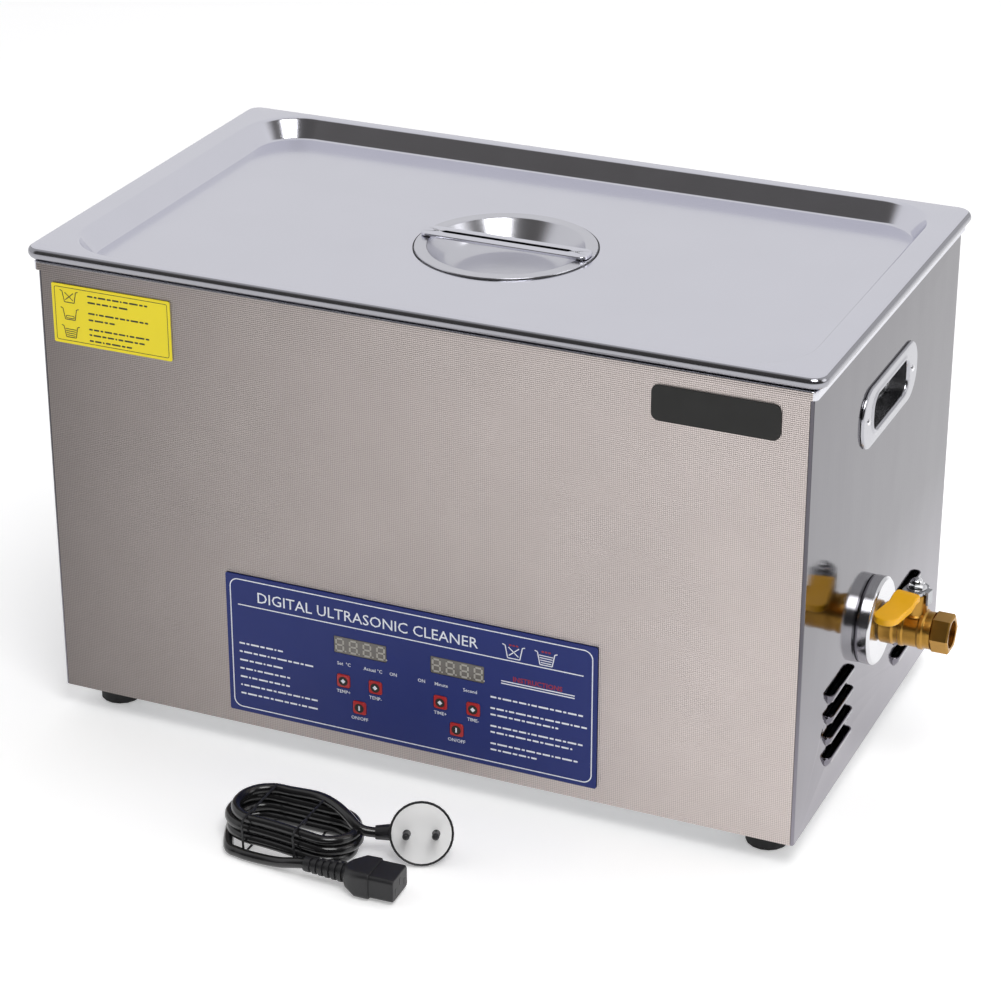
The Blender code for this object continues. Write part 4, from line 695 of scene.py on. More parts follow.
    def show(self, name: str, finish: Union[Finish, Sequence[Finish]], body: str,
             replaces: Sequence[str] = (), slot: Optional[str] = None,
             smooth: float = 32.0) -> bpy.types.Object:
        """Turn the form into a finished piece.

        Args:
            name: The piece's name.
            finish: Its finish, or one for each material index.
            body: The body that it rides on.
            replaces: CAD nodes that it stands for.
            slot: Not used.
            smooth: Edges sharper than this many degrees stay sharp.

        Returns:
            The new object.
        """
        self.tidy()
        data = bpy.data.meshes.new(name)
        self.mesh.to_mesh(data)
        self.mesh.free()
        for one in ([finish] if isinstance(finish, Finish) else finish):
            data.materials.append(one.material())
        data.shade_smooth()
        data.set_sharp_from_angle(angle=math.radians(smooth))
        piece = bpy.data.objects.new(name, data)
        bpy.context.scene.collection.objects.link(piece)
        piece.modifiers.new("even_shading", "WEIGHTED_NORMAL").keep_sharp = True
        return placed(piece, body, replaces)


def placed(piece: bpy.types.Object, body: str, replaces: Sequence[str] = ()) -> bpy.types.Object:
    """Seat a piece on its body and report it.

    Args:
        piece: The new object.
        body: The body that it rides on.
        replaces: CAD nodes that it stands for.

    Returns:
        The same object.
    """
    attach(piece, body)
    if replaces:
        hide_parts(*replaces)
    LOG.info("piece %s on %s", piece.name, body)
    return piece


class Frame:
    """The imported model's nodes, and how the scene dresses them.

    Args:
        nodes: The CAD nodes by name.
    """

    def __init__(self, nodes: Mapping[str, bpy.types.Object]) -> None:
        """Keep the nodes."""
        self.nodes = nodes

    def dress(self, finish: Finish, *names: str) -> None:
        """Give a finish to CAD nodes whose shape stays."""
        for name in names:
            self.nodes[name].data.materials.clear()
            self.nodes[name].data.materials.append(finish.material())
            LOG.info("node %s takes %s", name, finish.name)

    def refine(self, name: str, finish: Finish, body: str, slot: str, smooth: float = 28.0,
               ease: float = 0.0) -> bpy.types.Object:
        """Show a merged and smoothly shaded copy of a CAD node.

        Args:
            name: The node.
            finish: Its finish.
            body: The body that it rides on.
            slot: Handed on to the piece's show, which does not use it.
            smooth: Edges sharper than this many degrees stay sharp.
            ease: Radius that its edges are worn to.

        Returns:
            The copy.
        """
        form = Form().add(self.nodes[name].data)
        form.tidy()
        piece = form.show(f"{name}_fine", finish, body, [name], slot, smooth)
        if ease > 0:
            worn = piece.modifiers.new("worn_edges", "BEVEL")
            worn.width = ease
            worn.segments = 2
            worn.limit_method = "ANGLE"
            worn.angle_limit = math.radians(35)
            worn.harden_normals = True
            piece.modifiers.move(1, 0)
        return piece


def middle_of(name: str) -> Vector:
    """Return the middle of a CAD node's box."""
    low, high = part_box(name)
    return (low + high) / 2


def front_of(name: str, raised: float = 0.0) -> Matrix:
    """Return the frame of a CAD node's front face.

    Args:
        name: The node.
        raised: How far the frame stands in front of the face.

    Returns:
        The frame, with its origin at the face's middle.
    """
    middle = middle_of(name)
    return facing((middle.x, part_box(name)[0].y - raised, middle.z), (0, -1, 0))


# ---------------------------------------------------------------- studio
@dataclass
class Studio:
    """Camera, pale floor and soft light.

    Args:
        camera_place: Where the camera stands.
        look_down: How far it looks below the horizon, in degrees.
        look_left: How far it is turned to the left, in degrees.
        lens: Its lens, in millimetres.
        floor_half: Half the floor's side.
        dark_side: Where the surround is dark, seen from the object.
    """

    camera_place: Colour = (0.7518, -1.7798, 1.0703)
    look_down: float = 25.54
    look_left: float = 23.70
    lens: float = 111.07
    floor_half: float = 9.0
    dark_side: Colour = (0.35, -0.93, 0.15)

    def build(self) -> None:
        """Make the studio."""
        self._camera()
        self._floor()
        self._world()
        self._softbox("key_light", (0.375, -0.48, 0.79), 2.2, 1.0, 20.0)
        self._softbox("rear_light", (0.10, 0.35, 0.93), 2.8, 1.6, 14.0, False)
        self._softbox("side_light", (0.90, 0.10, 0.45), 2.6, 1.2, 6.0)
        bpy.context.scene.view_settings.view_transform = "Standard"

    def _camera(self) -> None:
        """Stand the camera at the viewing angle."""
        data = bpy.data.cameras.new("camera")
        data.lens = self.lens
        data.sensor_width = 36.0
        camera = bpy.data.objects.new("camera", data)
        camera.location = self.camera_place
        camera.rotation_euler = (math.radians(90 - self.look_down), 0.0, math.radians(self.look_left))
        bpy.context.scene.collection.objects.link(camera)
        bpy.context.scene.camera = camera

    def _floor(self) -> None:
        """Lay a plain white floor that glows a little, so that it stays white at its far end."""
        paint = bpy.data.materials.new("floor_paint")
        Graph(paint).set(Base_Color=(0.93, 0.93, 0.93, 1.0), Roughness=0.9,
                         Emission_Color=(1.0, 1.0, 1.0, 1.0), Emission_Strength=0.34)
        form = Form()
        form.ring(Outline(self.floor_half, self.floor_half, 0.0), at(0, 0, -FLOOR_GAP), fill=True)
        data = bpy.data.meshes.new("floor")
        form.mesh.to_mesh(data)
        form.mesh.free()
        data.materials.append(paint)
        floor = bpy.data.objects.new("floor", data)
        bpy.context.scene.collection.objects.link(floor)

    def _world(self) -> None:
        """Surround the object with pale light that has one dark side."""
        world = bpy.data.worlds.new("surround")
        bpy.context.scene.world = world
        graph = Graph(world, "Background")
        direction = graph.node("ShaderNodeTexCoord")
        toward = Vector(self.dark_side).normalized()
        facing_dark = graph.node("ShaderNodeVectorMath", {"operation": "DOT_PRODUCT"},
                                 {0: direction, 1: tuple(toward)}, 1)
        tones = [(0.0, (0.76, 0.76, 0.77)), (0.20, (0.74, 0.74, 0.75)), (0.44, (0.11, 0.105, 0.10)),
                 (1.0, (0.06, 0.06, 0.06))]
        shade = graph.node("ShaderNodeValToRGB", {"stops": tones}, {0: facing_dark})
        graph.set(Color=shade, Strength=1.0)

    def _softbox(self, name: str, direction: Colour, distance: float, size: float, power: float,
                 mirrored: bool = True) -> None:
        """Hang a square softbox.

        Args:
            name: Its name.
            direction: Where it hangs, seen from the object.
            distance: How far away it hangs.
            size: Its side.
            power: Its power in watts.
            mirrored: Whether polished sheet mirrors it.
        """
        data = bpy.data.lights.new(name, "AREA")
        data.size = size
        data.energy = power
        lamp = bpy.data.objects.new(name, data)
        lamp.visible_glossy = mirrored
        out = Vector(direction).normalized()
        lamp.location = out * distance + Vector((0.0, 0.0, 0.2))
        lamp.rotation_euler = out.to_track_quat("Z", "Y").to_euler()
        bpy.context.scene.collection.objects.link(lamp)


# ---------------------------------------------------------------- mains lead
@dataclass
class MainsLead:
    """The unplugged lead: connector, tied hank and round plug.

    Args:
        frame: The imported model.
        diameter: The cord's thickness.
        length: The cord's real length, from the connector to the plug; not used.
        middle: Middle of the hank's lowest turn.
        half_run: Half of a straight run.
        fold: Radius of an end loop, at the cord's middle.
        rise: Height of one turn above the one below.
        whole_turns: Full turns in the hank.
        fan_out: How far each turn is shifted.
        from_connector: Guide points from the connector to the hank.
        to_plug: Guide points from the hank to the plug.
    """

    frame: Frame
    diameter: float = 0.007
    length: float = 0.87
    middle: Point = (-0.06585, -0.2590)
    half_run: float = 0.023
    fold: float = 0.021
    rise: float = 0.0061
    whole_turns: int = 3
    fan_out: tuple[Point, ...] = ((0.0, 0.0), (0.0030, 0.0024), (0.0008, 0.0046), (0.0050, 0.0058),
                                  (0.0050, 0.0058))
    from_connector: tuple[Colour, ...] = (
        (-0.03885, -0.2905, 0.0096), (-0.04135, -0.2906, 0.0094), (-0.04885, -0.2906, 0.0078),
        (-0.05635, -0.2900, 0.0058), (-0.06635, -0.2890, 0.0043), (-0.07835, -0.2884, 0.0038),
        (-0.08885, -0.2868, 0.0036), (-0.09835, -0.2824, 0.0036))
    to_plug: tuple[Colour, ...] = (
        (-0.05750, -0.2330, 0.0232), (-0.04250, -0.2385, 0.0236), (-0.03050, -0.2455, 0.0226),
        (-0.02200, -0.2500, 0.0196), (-0.01750, -0.2508, 0.0180), (-0.01435, -0.2501, 0.0171),
        (-0.01195, -0.2491, 0.0166), (-0.00975, -0.2482, 0.0163),
        (-0.00795, -0.2475, 0.0161))

    def build(self) -> None:
        connector = self._connector()
        plug = self._plug()
        face = self.frame.refine("plug_face", PLUG_WHITE, "casing", "white_plastic")
        cable = self._cable()
        ties = [self._tie(-0.0880, "tie_left"), self._tie(-0.0510, "tie_right")]

    def _stadium(self, turn: float) -> Vector:
        """Return a point of the hank.

        Args:
            turn: Turns wound so far; a turn starts where the left end loop does.

        Returns:
            The cord's middle there.
        """
        lap, share = divmod(turn, 1.0)
        loop, run = math.pi * self.fold, 2 * self.half_run
        gone = share * 2 * (loop + run)
        if gone < loop:
            angle = math.radians(270) - gone / self.fold
            x, y = -self.half_run + self.fold * math.cos(angle), self.fold * math.sin(angle)
        elif gone < loop + run:
            x, y = -self.half_run + gone - loop, self.fold
        elif gone < 2 * loop + run:
            angle = math.radians(90) - (gone - loop - run) / self.fold
            x, y = self.half_run + self.fold * math.cos(angle), self.fold * math.sin(angle)
        else:
            x, y = self.half_run - (gone - 2 * loop - run), -self.fold
        climb = max(0.0, share - 0.55) / 0.45
        climb = climb * climb * (3 - 2 * climb)
        here, there = Vector(self.fan_out[int(lap)]), Vector(self.fan_out[int(lap) + 1])
        shift = here.lerp(there, climb)
        z = self.diameter / 2 + self.rise * (lap + climb)
        return Vector((self.middle[0] + x + shift.x, self.middle[1] + y + shift.y, z))

    def _route(self) -> list[Vector]:
        """Return the cord's guide points from the connector to the plug."""
        first_turn, points_in_a_turn = 0.16, 20
        turns = self.whole_turns + 0.32 - first_turn
        count = round(turns * points_in_a_turn)
        hank = [self._stadium(first_turn + turns * i / count) for i in range(count + 1)]
        return [*map(Vector, self.from_connector), *hank, *map(Vector, self.to_plug)]

    def _cable(self) -> bpy.types.Object:
        """Draw the cord as one smooth spline through its guide points."""
        guides = self._route()
        guides = [2 * guides[0] - guides[1], *guides, 2 * guides[-1] - guides[-2]]
        curve = bpy.data.curves.new("mains_cord", "CURVE")
        curve.dimensions = "3D"
        curve.bevel_depth = self.diameter / 2
        curve.bevel_resolution = 4
        curve.use_fill_caps = True
        line: list[Vector] = []
        for a, b, c, d in zip(guides, guides[1:], guides[2:], guides[3:]):
            for t in (0.0, 0.25, 0.5, 0.75):
                line.append(0.5 * (2 * b + (c - a) * t + (2 * a - 5 * b + 4 * c - d) * t * t
                                   + (3 * b - a - 3 * c + d) * t ** 3))
        line.append(guides[-2])
        spline = curve.splines.new("POLY")
        spline.points.add(len(line) - 1)
        for point, place in zip(spline.points, line):
            point.co = (*place, 1.0)
        spline.use_smooth = True
        curve.materials.append(PVC.material())
        cable = bpy.data.objects.new("mains_cord", curve)
        bpy.context.scene.collection.objects.link(cable)
        measured = sum((b - a).length for a, b in zip(line, line[1:]))
        LOG.info("mains cord measures %.3f m", measured)
        return placed(cable, "casing", ["cord_hank", "cord_to_connector", "cord_to_plug"])

    def _tie(self, x: float, name: str) -> bpy.types.Object:
        """Wrap a thin twist tie round the hank.

        Args:
            x: Where it sits along the hank.
            name: The piece's name.

        Returns:
            The tie.
        """
        y = self.middle[1]
        loop, width, thickness = Outline(0.0276, 0.0124, 0.0050), 0.0014, 0.0007
        place = facing((x, y + 0.0030, 0.0129), (1, 0, 0.04))
        form = Form().loft([(loop, 0.0), (loop, width)], place, (False, False))
        form.tidy().thicken(thickness)
        form.rod((x + 0.001, y - 0.006, 0.0250), (x + 0.003, y - 0.013, 0.0262), 0.0010, 0.0008, 10,
                 0.0003)
        return form.show(name, BLACK_NYLON, "casing", slot="black_plastic")

    def _connector(self) -> bpy.types.Object:
        """Make the connector's moulded body with a slotted, tapering strain relief."""
        rear, front = Vector((-0.03835, -0.2905, 0.0098)), Vector((0.02765, -0.2880, 0.0098))
        run = front - rear
        place = facing(front, -run)
        half_y, half_z, step = 0.0120, 0.0081, 0.0012
        nose = Outline(half_y, half_z, 0.0028)
        stations = [(Outline(half_y - 0.0010, half_z - 0.0010, 0.0020), 0.0),
                    (nose, 0.0010), (nose, 0.0168),
                    (Outline(half_y + step - 0.0005, half_z + step - 0.0005, 0.0032), 0.0170),
                    (Outline(half_y + step, half_z + step, 0.0036), 0.0176),
                    (Outline(half_y + step, half_z + step, 0.0040), 0.0270),
                    (Outline(0.0098, 0.0074, 0.0056), 0.0345),
                    (Outline(0.0068, 0.0066, 0.0060), 0.0368)]
        for rib in range(6):
            start = 0.0368 + 0.0046 * rib
            radius = 0.0066 - 0.00032 * rib
            groove = Outline(radius * 0.80, radius * 0.80, radius * 0.76)
            ridge = Outline(radius, radius, radius * 0.96)
            stations += [(groove, start + 0.0003), (groove, start + 0.0016),
                         (ridge, start + 0.0019), (ridge, start + 0.0043)]
        stations.append((Outline(0.0046, 0.0046, 0.0044), run.length))
        form = Form().loft(stations, place)
        for side, up in ((-0.0070, -0.0018), (0.0, 0.0022), (0.0070, -0.0018)):
            form.box((side - 0.0012, up - 0.0024, -0.0002), (side + 0.0012, up + 0.0024, 0.0006),
                     place, 0.0003)
        return form.show("connector_moulding", PLUG_BLACK, "casing", ["cord_connector"], "cord_pvc", 50)

    def _plug(self) -> bpy.types.Object:
        """Show a smoothly shaded copy of the round plug."""
        return self.frame.refine("plug", PLUG_BLACK, "casing", "cord_pvc", 40)


# ---------------------------------------------------------------- casing
@dataclass
class Casing:
    """Folded casing: front sheet, side sheets with louvres and grips, base and feet."""

    frame: Frame

    def build(self) -> None:
        """Dress and refine the casing's pieces."""
        self.frame.dress(EMBOSSED, "front_panel")
        self.frame.dress(ZINC, "rear_panel")
        for side in ("left", "right"):
            self.frame.refine(f"side_panel_{side}", MIRROR, "casing", "polished_steel", 30)
            self._grip(side)
        self.frame.refine("base_plate", ZINC, "casing", "zinc_steel", 30)
        for foot in ("front_left", "front_right", "rear_left", "rear_right"):
            self.frame.refine(f"foot_{foot}", RUBBER, "casing", "black_rubber", 30, 0.0008)

    def _grip(self, side: str) -> None:
        """Press a recessed grip with a rolled lip, and rivet it on.

        Args:
            side: Which side it is on.
        """
        low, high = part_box(f"handle_{side}")
        out = 1.0 if side == "right" else -1.0
        face_x = high.x if side == "right" else low.x
        sheet_x = face_x - out * 0.0028
        place = facing((sheet_x, (low.y + high.y) / 2, (low.z + high.z) / 2), (out, 0, 0))
        plate, pocket = Outline(0.059, 0.021, 0.019, 12), Outline(0.037, 0.01175, 0.009, 12)
        stations = [(plate, 0.0003), (plate, 0.0012), (plate.grown(-0.0006), 0.0018),
                    (plate.grown(-0.0016), 0.0021), (pocket.grown(0.0046), 0.0019),
                    (pocket.grown(0.0036), 0.0023), (pocket.grown(0.0024), 0.0028),
                    (pocket.grown(0.0012), 0.0026), (pocket.grown(0.0004), 0.0018), (pocket, 0.0006),
                    (pocket, -0.0095), (pocket.grown(-0.0008), -0.0112),
                    (pocket.grown(-0.0026), -0.0120)]
        form = Form().loft(stations, place, (False, True))
        grip = form.show(f"grip_{side}", (GRIP_STEEL, SHADED_STEEL), "casing", [f"handle_{side}"],
                         "pressed_steel", 50)
        for face in grip.data.polygons:
            if out * (face.center.x - sheet_x) < -0.0005:
                face.material_index = 1
        rivets = Form()
        for y in (-0.0478, 0.0478):
            rivets.turn([(0.0, 0.0031), (0.0012, 0.0030), (0.0021, 0.0025), (0.0024, 0.0019)],
                        place @ at(y, 0.0, 0.0), 20)
        rivets.show(f"grip_rivets_{side}", CHROME, "casing", slot="chrome")


# ---------------------------------------------------------------- tank
@dataclass
class Tank:
    """Deep-drawn tank whose rim laps over the casing."""

    frame: Frame

    def build(self) -> None:
        """Refine the tank and give its front skirt the embossed finish."""
        tank = self.frame.refine("tank", PRESSED, "casing", "pressed_steel", 40)
        tank.data.materials.append(EMBOSSED.material())
        face_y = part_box("tank")[0].y
        for face in tank.data.polygons:
            if face.normal.y < -0.9 and face.center.y < face_y + 0.002:
                face.material_index = 1


# ---------------------------------------------------------------- lid
@dataclass
class Lid:
    """Loose lid: rolled edge, sunken middle, grip dish and slotted bar.

    Args:
        margin_x: Rolled edge's outside to the top of the sunken wall, at the ends.
        margin_y: The same at the front and the rear.
        corner: Corner radius of the rolled edge.
        sunk_corner: Corner radius at the top of the sunken wall.
        run: How far the sunken wall leans inwards.
        depth: How far the middle is sunk.
        roll: Radius of the rolled edge, at its outside.
    """

    frame: Frame
    margin_x: float = 0.0205
    margin_y: float = 0.0095
    corner: float = 0.011
    sunk_corner: float = 0.040
    run: float = 0.0095
    depth: float = 0.014
    roll: float = 0.00435
    sheet: float = 0.001
    dish_ring: float = 0.062
    dish_lip: float = 0.0545
    dish_depth: float = 0.018

    def build(self) -> None:
        """Make the lid, its dish and its bar."""
        low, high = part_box("lid")
        self.half_x, self.half_y = (high.x - low.x) / 2, (high.y - low.y) / 2
        self.top = high.z
        self.place = at((low.x + high.x) / 2, (low.y + high.y) / 2, 0)
        self._sheet()
        self._dish()
        self._bar()

    def _sheet(self) -> None:
        """Draw the lid's sheet as one lofted skin, then give it its thickness."""
        top_wall = Outline(self.half_x - self.margin_x, self.half_y - self.margin_y,
                           self.sunk_corner, 12)
        edge = Outline(self.half_x, self.half_y, self.corner, 12)
        floor = self.top - self.depth
        wall = rounded_path([(-self.run - 0.006, floor, 0), (-self.run, floor, 0.0026),
                             (0.0, self.top, 0.0034), (0.005, self.top, 0)], 5)
        form = Form()
        sunk = [form.ring(top_wall.grown(offset), self.place @ at(0, 0, z)) for offset, z in wall]
        rolled = []
        for step in range(13):
            angle = math.radians(90 - 15 * step)
            inset = self.roll * (1 - math.cos(angle))
            z = self.top - self.roll + self.roll * math.sin(angle)
            rolled.append(form.ring(edge.grown(-inset), self.place @ at(0, 0, z)))
        form.chain(sunk)
        form.chain(rolled)
        form.plate(sunk[-1] + rolled[0])
        hole = form.circle(self.dish_lip + 0.001, self.place @ at(0, 0, floor), 96)
        form.plate(sunk[0] + hole)
        form.tidy()
        if sum(f.normal.z * f.calc_area() for f in form.mesh.faces) < 0:
            bmesh.ops.reverse_faces(form.mesh, faces=form.mesh.faces)
        bmesh.ops.solidify(form.mesh, geom=list(form.mesh.faces), thickness=self.sheet)
        lid = form.show("lid_sheet", (LID_STEEL, SHADED_EDGE_STEEL), "lid", ["lid"], "polished_steel", 60)
        # Painted shade: the rolled edge's faces below the top take the darker copy of the lid's steel.
        for face in lid.data.polygons:
            place = face.center - self.place.translation
            rim = abs(place.x) > self.half_x - self.roll or abs(place.y) > self.half_y - self.roll
            if rim and face.center.z < self.top - 0.0005:
                face.material_index = 1

    def _dish(self) -> None:
        """Spin the grip dish, with its flat ring and its rolled lip."""
        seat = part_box("lid_dish")[1].z
        floor = seat - self.dish_depth - self.sheet
        lip, ring = self.dish_lip, self.dish_ring
        upper = rounded_path([(0.0, floor, 0), (lip - 0.014, floor, 0.015), (lip - 0.001, seat, 0.0016),
                              (ring - 0.0003, seat, 0.0005), (ring, seat - 0.0009, 0)], 8)
        form = Form().turn(upper, self.place, 96)
        under = floor - self.sheet
        form.turn(rounded_path([(ring, seat - 0.0009, 0), (lip + 0.0006, seat - 0.0009, 0.0008),
                                (lip - 0.0145, under, 0.014), (0.0, under, 0)], 8), self.place, 96)
        form.show("grip_dish", PRESSED, "lid", ["lid_dish"], "pressed_steel", 50)
        # Painted shade: a thin dark ring stands in for the shade in the gap round the dish's flat ring.
        shade_ring = Form().turn([(ring + 0.0001, seat - 0.0008), (ring + 0.0007, seat - 0.00075),
                            (ring + 0.0009, seat - 0.00092)], self.place, 96)
        shade_ring.show("dish_gap_shade", PAINTED_GAP_SHADE, "lid", slot="black_plastic")

    def _bar(self) -> None:
        """Make the slotted grip bar with its four rivets."""
        low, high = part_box("lid_bar")
        bar = Outline(0.061, 0.0085, 0.0060, 8)
        slot = Outline(0.046, 0.0016, 0.00145, 8)
        form = Form()
        rings = [form.ring(shape, self.place @ at(0, 0, z)) for shape, z in (
            (slot, low.z), (bar.grown(-0.0006), low.z), (bar, low.z + 0.0005), (bar, high.z - 0.0007),
            (bar.grown(-0.0003), high.z - 0.0002), (bar.grown(-0.0008), high.z),
            (slot.grown(0.0004), high.z), (slot, high.z - 0.0004), (slot, low.z))]
        form.chain(rings)
        form.show("grip_bar", LID_STEEL, "lid", ["lid_bar"], "polished_steel", 45)
        rivets = Form()
        for x in (-0.0525, -0.0495, 0.0495, 0.0525):
            rivets.turn([(0.0, high.z + 0.0004), (0.0006, high.z + 0.0003), (0.0010, high.z - 0.0001)],
                        self.place @ at(x, 0, 0), 14)
        rivets.show("bar_rivets", ZINC, "lid", slot="zinc_steel")


# ---------------------------------------------------------------- drain and valve
@dataclass
class Drain:
    """Elbow, flange and brass ball valve with its sleeved lever.

    Args:
        frame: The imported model.
        axis_y: The valve's axis, from the middle of the side sheet.
        axis_z: Its height.
        hex_flat: Half the distance across the mouth's flats.
        bore: Radius of the threaded bore, at the crests.
        thread_pitch: Distance from one thread to the next.
        thread_depth: Depth of the thread.
    """

    frame: Frame
    axis_y: float = -0.017
    axis_z: float = 0.115
    hex_flat: float = 0.0118
    bore: float = 0.0093
    thread_pitch: float = 0.0009
    thread_depth: float = 0.0006

    def build(self) -> None:
        """Make the drain's pieces."""
        self.frame.refine("drain_elbow", CAST_BRASS, "casing", "brass", 30)
        self._flange()
        self._valve()
        self.frame.refine("valve_ball", CHROME, "valve_spindle", "chrome", 40)
        self.frame.refine("valve_lever", ZINC, "valve_spindle", "zinc_steel", 30, 0.0003)
        self.frame.refine("lever_sleeve", VINYL, "valve_spindle", "yellow_vinyl", 50, 0.0016)
        self._stem()

    def _flange(self) -> None:
        """Turn the wall flange."""
        low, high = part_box("drain_flange")
        middle, radius = (low + high) / 2, (high.z - low.z) / 2
        place = facing((low.x, middle.y, middle.z), (1, 0, 0))
        path = rounded_path([(0.0102, 0.0, 0), (radius - 0.0004, 0.0, 0.0004), (radius, 0.0016, 0.0010),
                             (radius, 0.0084, 0.0014), (radius - 0.0018, 0.0098, 0.0008),
                             (0.0135, 0.0094, 0.0006), (0.0102, 0.0094, 0.0004), (0.0102, 0.0, 0)], 4)
        form = Form().turn(path, place, 96)
        form.show("wall_flange", TURNED, "casing", ["drain_flange"], "pressed_steel", 40)

    def _valve(self) -> None:
        """Build the cast body: collar, two raised bands, hexagonal mouth with a threaded bore."""
        low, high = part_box("valve_body")
        stem = middle_of("valve_stem")
        axis = facing((low.x, self.axis_y, self.axis_z), (1, 0, 0))
        length = high.x - low.x
        mouth = length - 0.0125
        body = rounded_path([
            (0.0096, 0.0, 0), (0.0128, 0.0, 0.0004), (0.0138, 0.0010, 0.0006), (0.0138, 0.0090, 0.0008),
            (0.0126, 0.0102, 0.0008), (0.0126, 0.0130, 0.0006), (0.0137, 0.0138, 0.0005),
            (0.0137, 0.0160, 0.0005), (0.0129, 0.0170, 0.0008), (0.0129, 0.0262, 0.0008),
            (0.0137, 0.0270, 0.0005), (0.0137, 0.0292, 0.0005), (0.0126, 0.0302, 0.0008),
            (0.0126, mouth, 0)], 4)
        form = Form().turn(body, axis, 64)
        wide, circle = self.hex_flat / math.cos(math.pi / 6), 48
        flats = axis @ Matrix.Rotation(math.radians(30), 4, "Z")
        loops = [form.circle(0.0124, axis @ at(0, 0, mouth - 0.0002), 6),
                 form.circle(wide - 0.0010, flats @ at(0, 0, mouth), 6),
                 form.circle(wide, flats @ at(0, 0, mouth + 0.0008), 6),
                 form.circle(wide, flats @ at(0, 0, length - 0.0010), 6),
                 form.circle(wide - 0.0012, flats @ at(0, 0, length), 6)]
        form.chain(loops[1:])
        edge = form.circle(self.bore + 0.0007, axis @ at(0, 0, length), circle)
        form.plate(loops[-1] + edge)
        back = form.circle(0.0124, axis @ at(0, 0, mouth), circle)
        form.plate(loops[1] + back)
        bmesh.ops.delete(form.mesh, geom=list({v for e in loops[0] for v in e.verts}), context="VERTS")
        depth, previous = 0.0, edge
        while depth < 0.0115:
            for deep, radius in ((depth + 0.35 * self.thread_pitch, self.bore),
                                 (depth + self.thread_pitch, self.bore + self.thread_depth)):
                ring = form.circle(radius, axis @ at(0, 0, length - deep), circle)
                form.bridge(previous, ring)
                previous = ring
            depth += self.thread_pitch
        seat = form.circle(0.0062, axis @ at(0, 0, length - 0.0122), circle)
        form.bridge(previous, seat)
        inner = form.circle(0.0062, axis @ at(0, 0, 0.029), circle)
        form.bridge(seat, inner)
        boss = rounded_path([(0.0086, 0.0, 0), (0.0092, 0.0, 0.0002), (0.0080, 0.0016, 0.0006),
                             (0.0080, 0.0158, 0.0008), (0.0036, 0.0162, 0.0003), (0.0036, 0.0, 0)], 4)
        form.turn(boss, at(stem.x, self.axis_y, self.axis_z + 0.0108), 40)
        form.show("valve_casting", CAST_BRASS, "casing", ["valve_body"], "brass", 35)
        nipple = Form().turn([(0.0095, -0.0100), (0.0095, 0.0004)], axis, 48)
        nipple.show("pipe_nipple", CUT_BRASS, "casing", slot="brass")

    def _stem(self) -> None:
        """Cap the stem with a domed nut, over a washer."""
        low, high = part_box("valve_stem")
        place = at((low.x + high.x) / 2, (low.y + high.y) / 2, 0)
        top = high.z
        form = Form()
        form.rod(place @ Vector((0, 0, low.z)), place @ Vector((0, 0, top - 0.0070)), 0.0032, steps=24)
        rings = [form.circle(radius, place @ at(0, 0, z), 6, index in (0, 3)) for index, (radius, z) in
                 enumerate(((0.0049, top - 0.0064), (0.0053, top - 0.0060), (0.0053, top - 0.0030),
                            (0.0048, top - 0.0024)))]
        form.chain(rings)
        form.turn(rounded_path([(0.0, top, 0), (0.0030, top, 0.0028), (0.0042, top - 0.0026, 0.0004),
                                (0.0042, top - 0.0030, 0)], 5), place, 32)
        form.turn([(0.0033, top - 0.0064), (0.0066, top - 0.0064), (0.0068, top - 0.0062),
                   (0.0064, top - 0.0060), (0.0033, top - 0.0060)], place, 32)
        form.show("stem_and_nut", CHROME, "valve_spindle", ["valve_stem"], "chrome", 30)


# ---------------------------------------------------------------- prints
class Filling(Enum):
    """What a printed tub sign holds."""

    CROSS = "cross"
    BASKET = "basket"
    LAYERS = "layers"


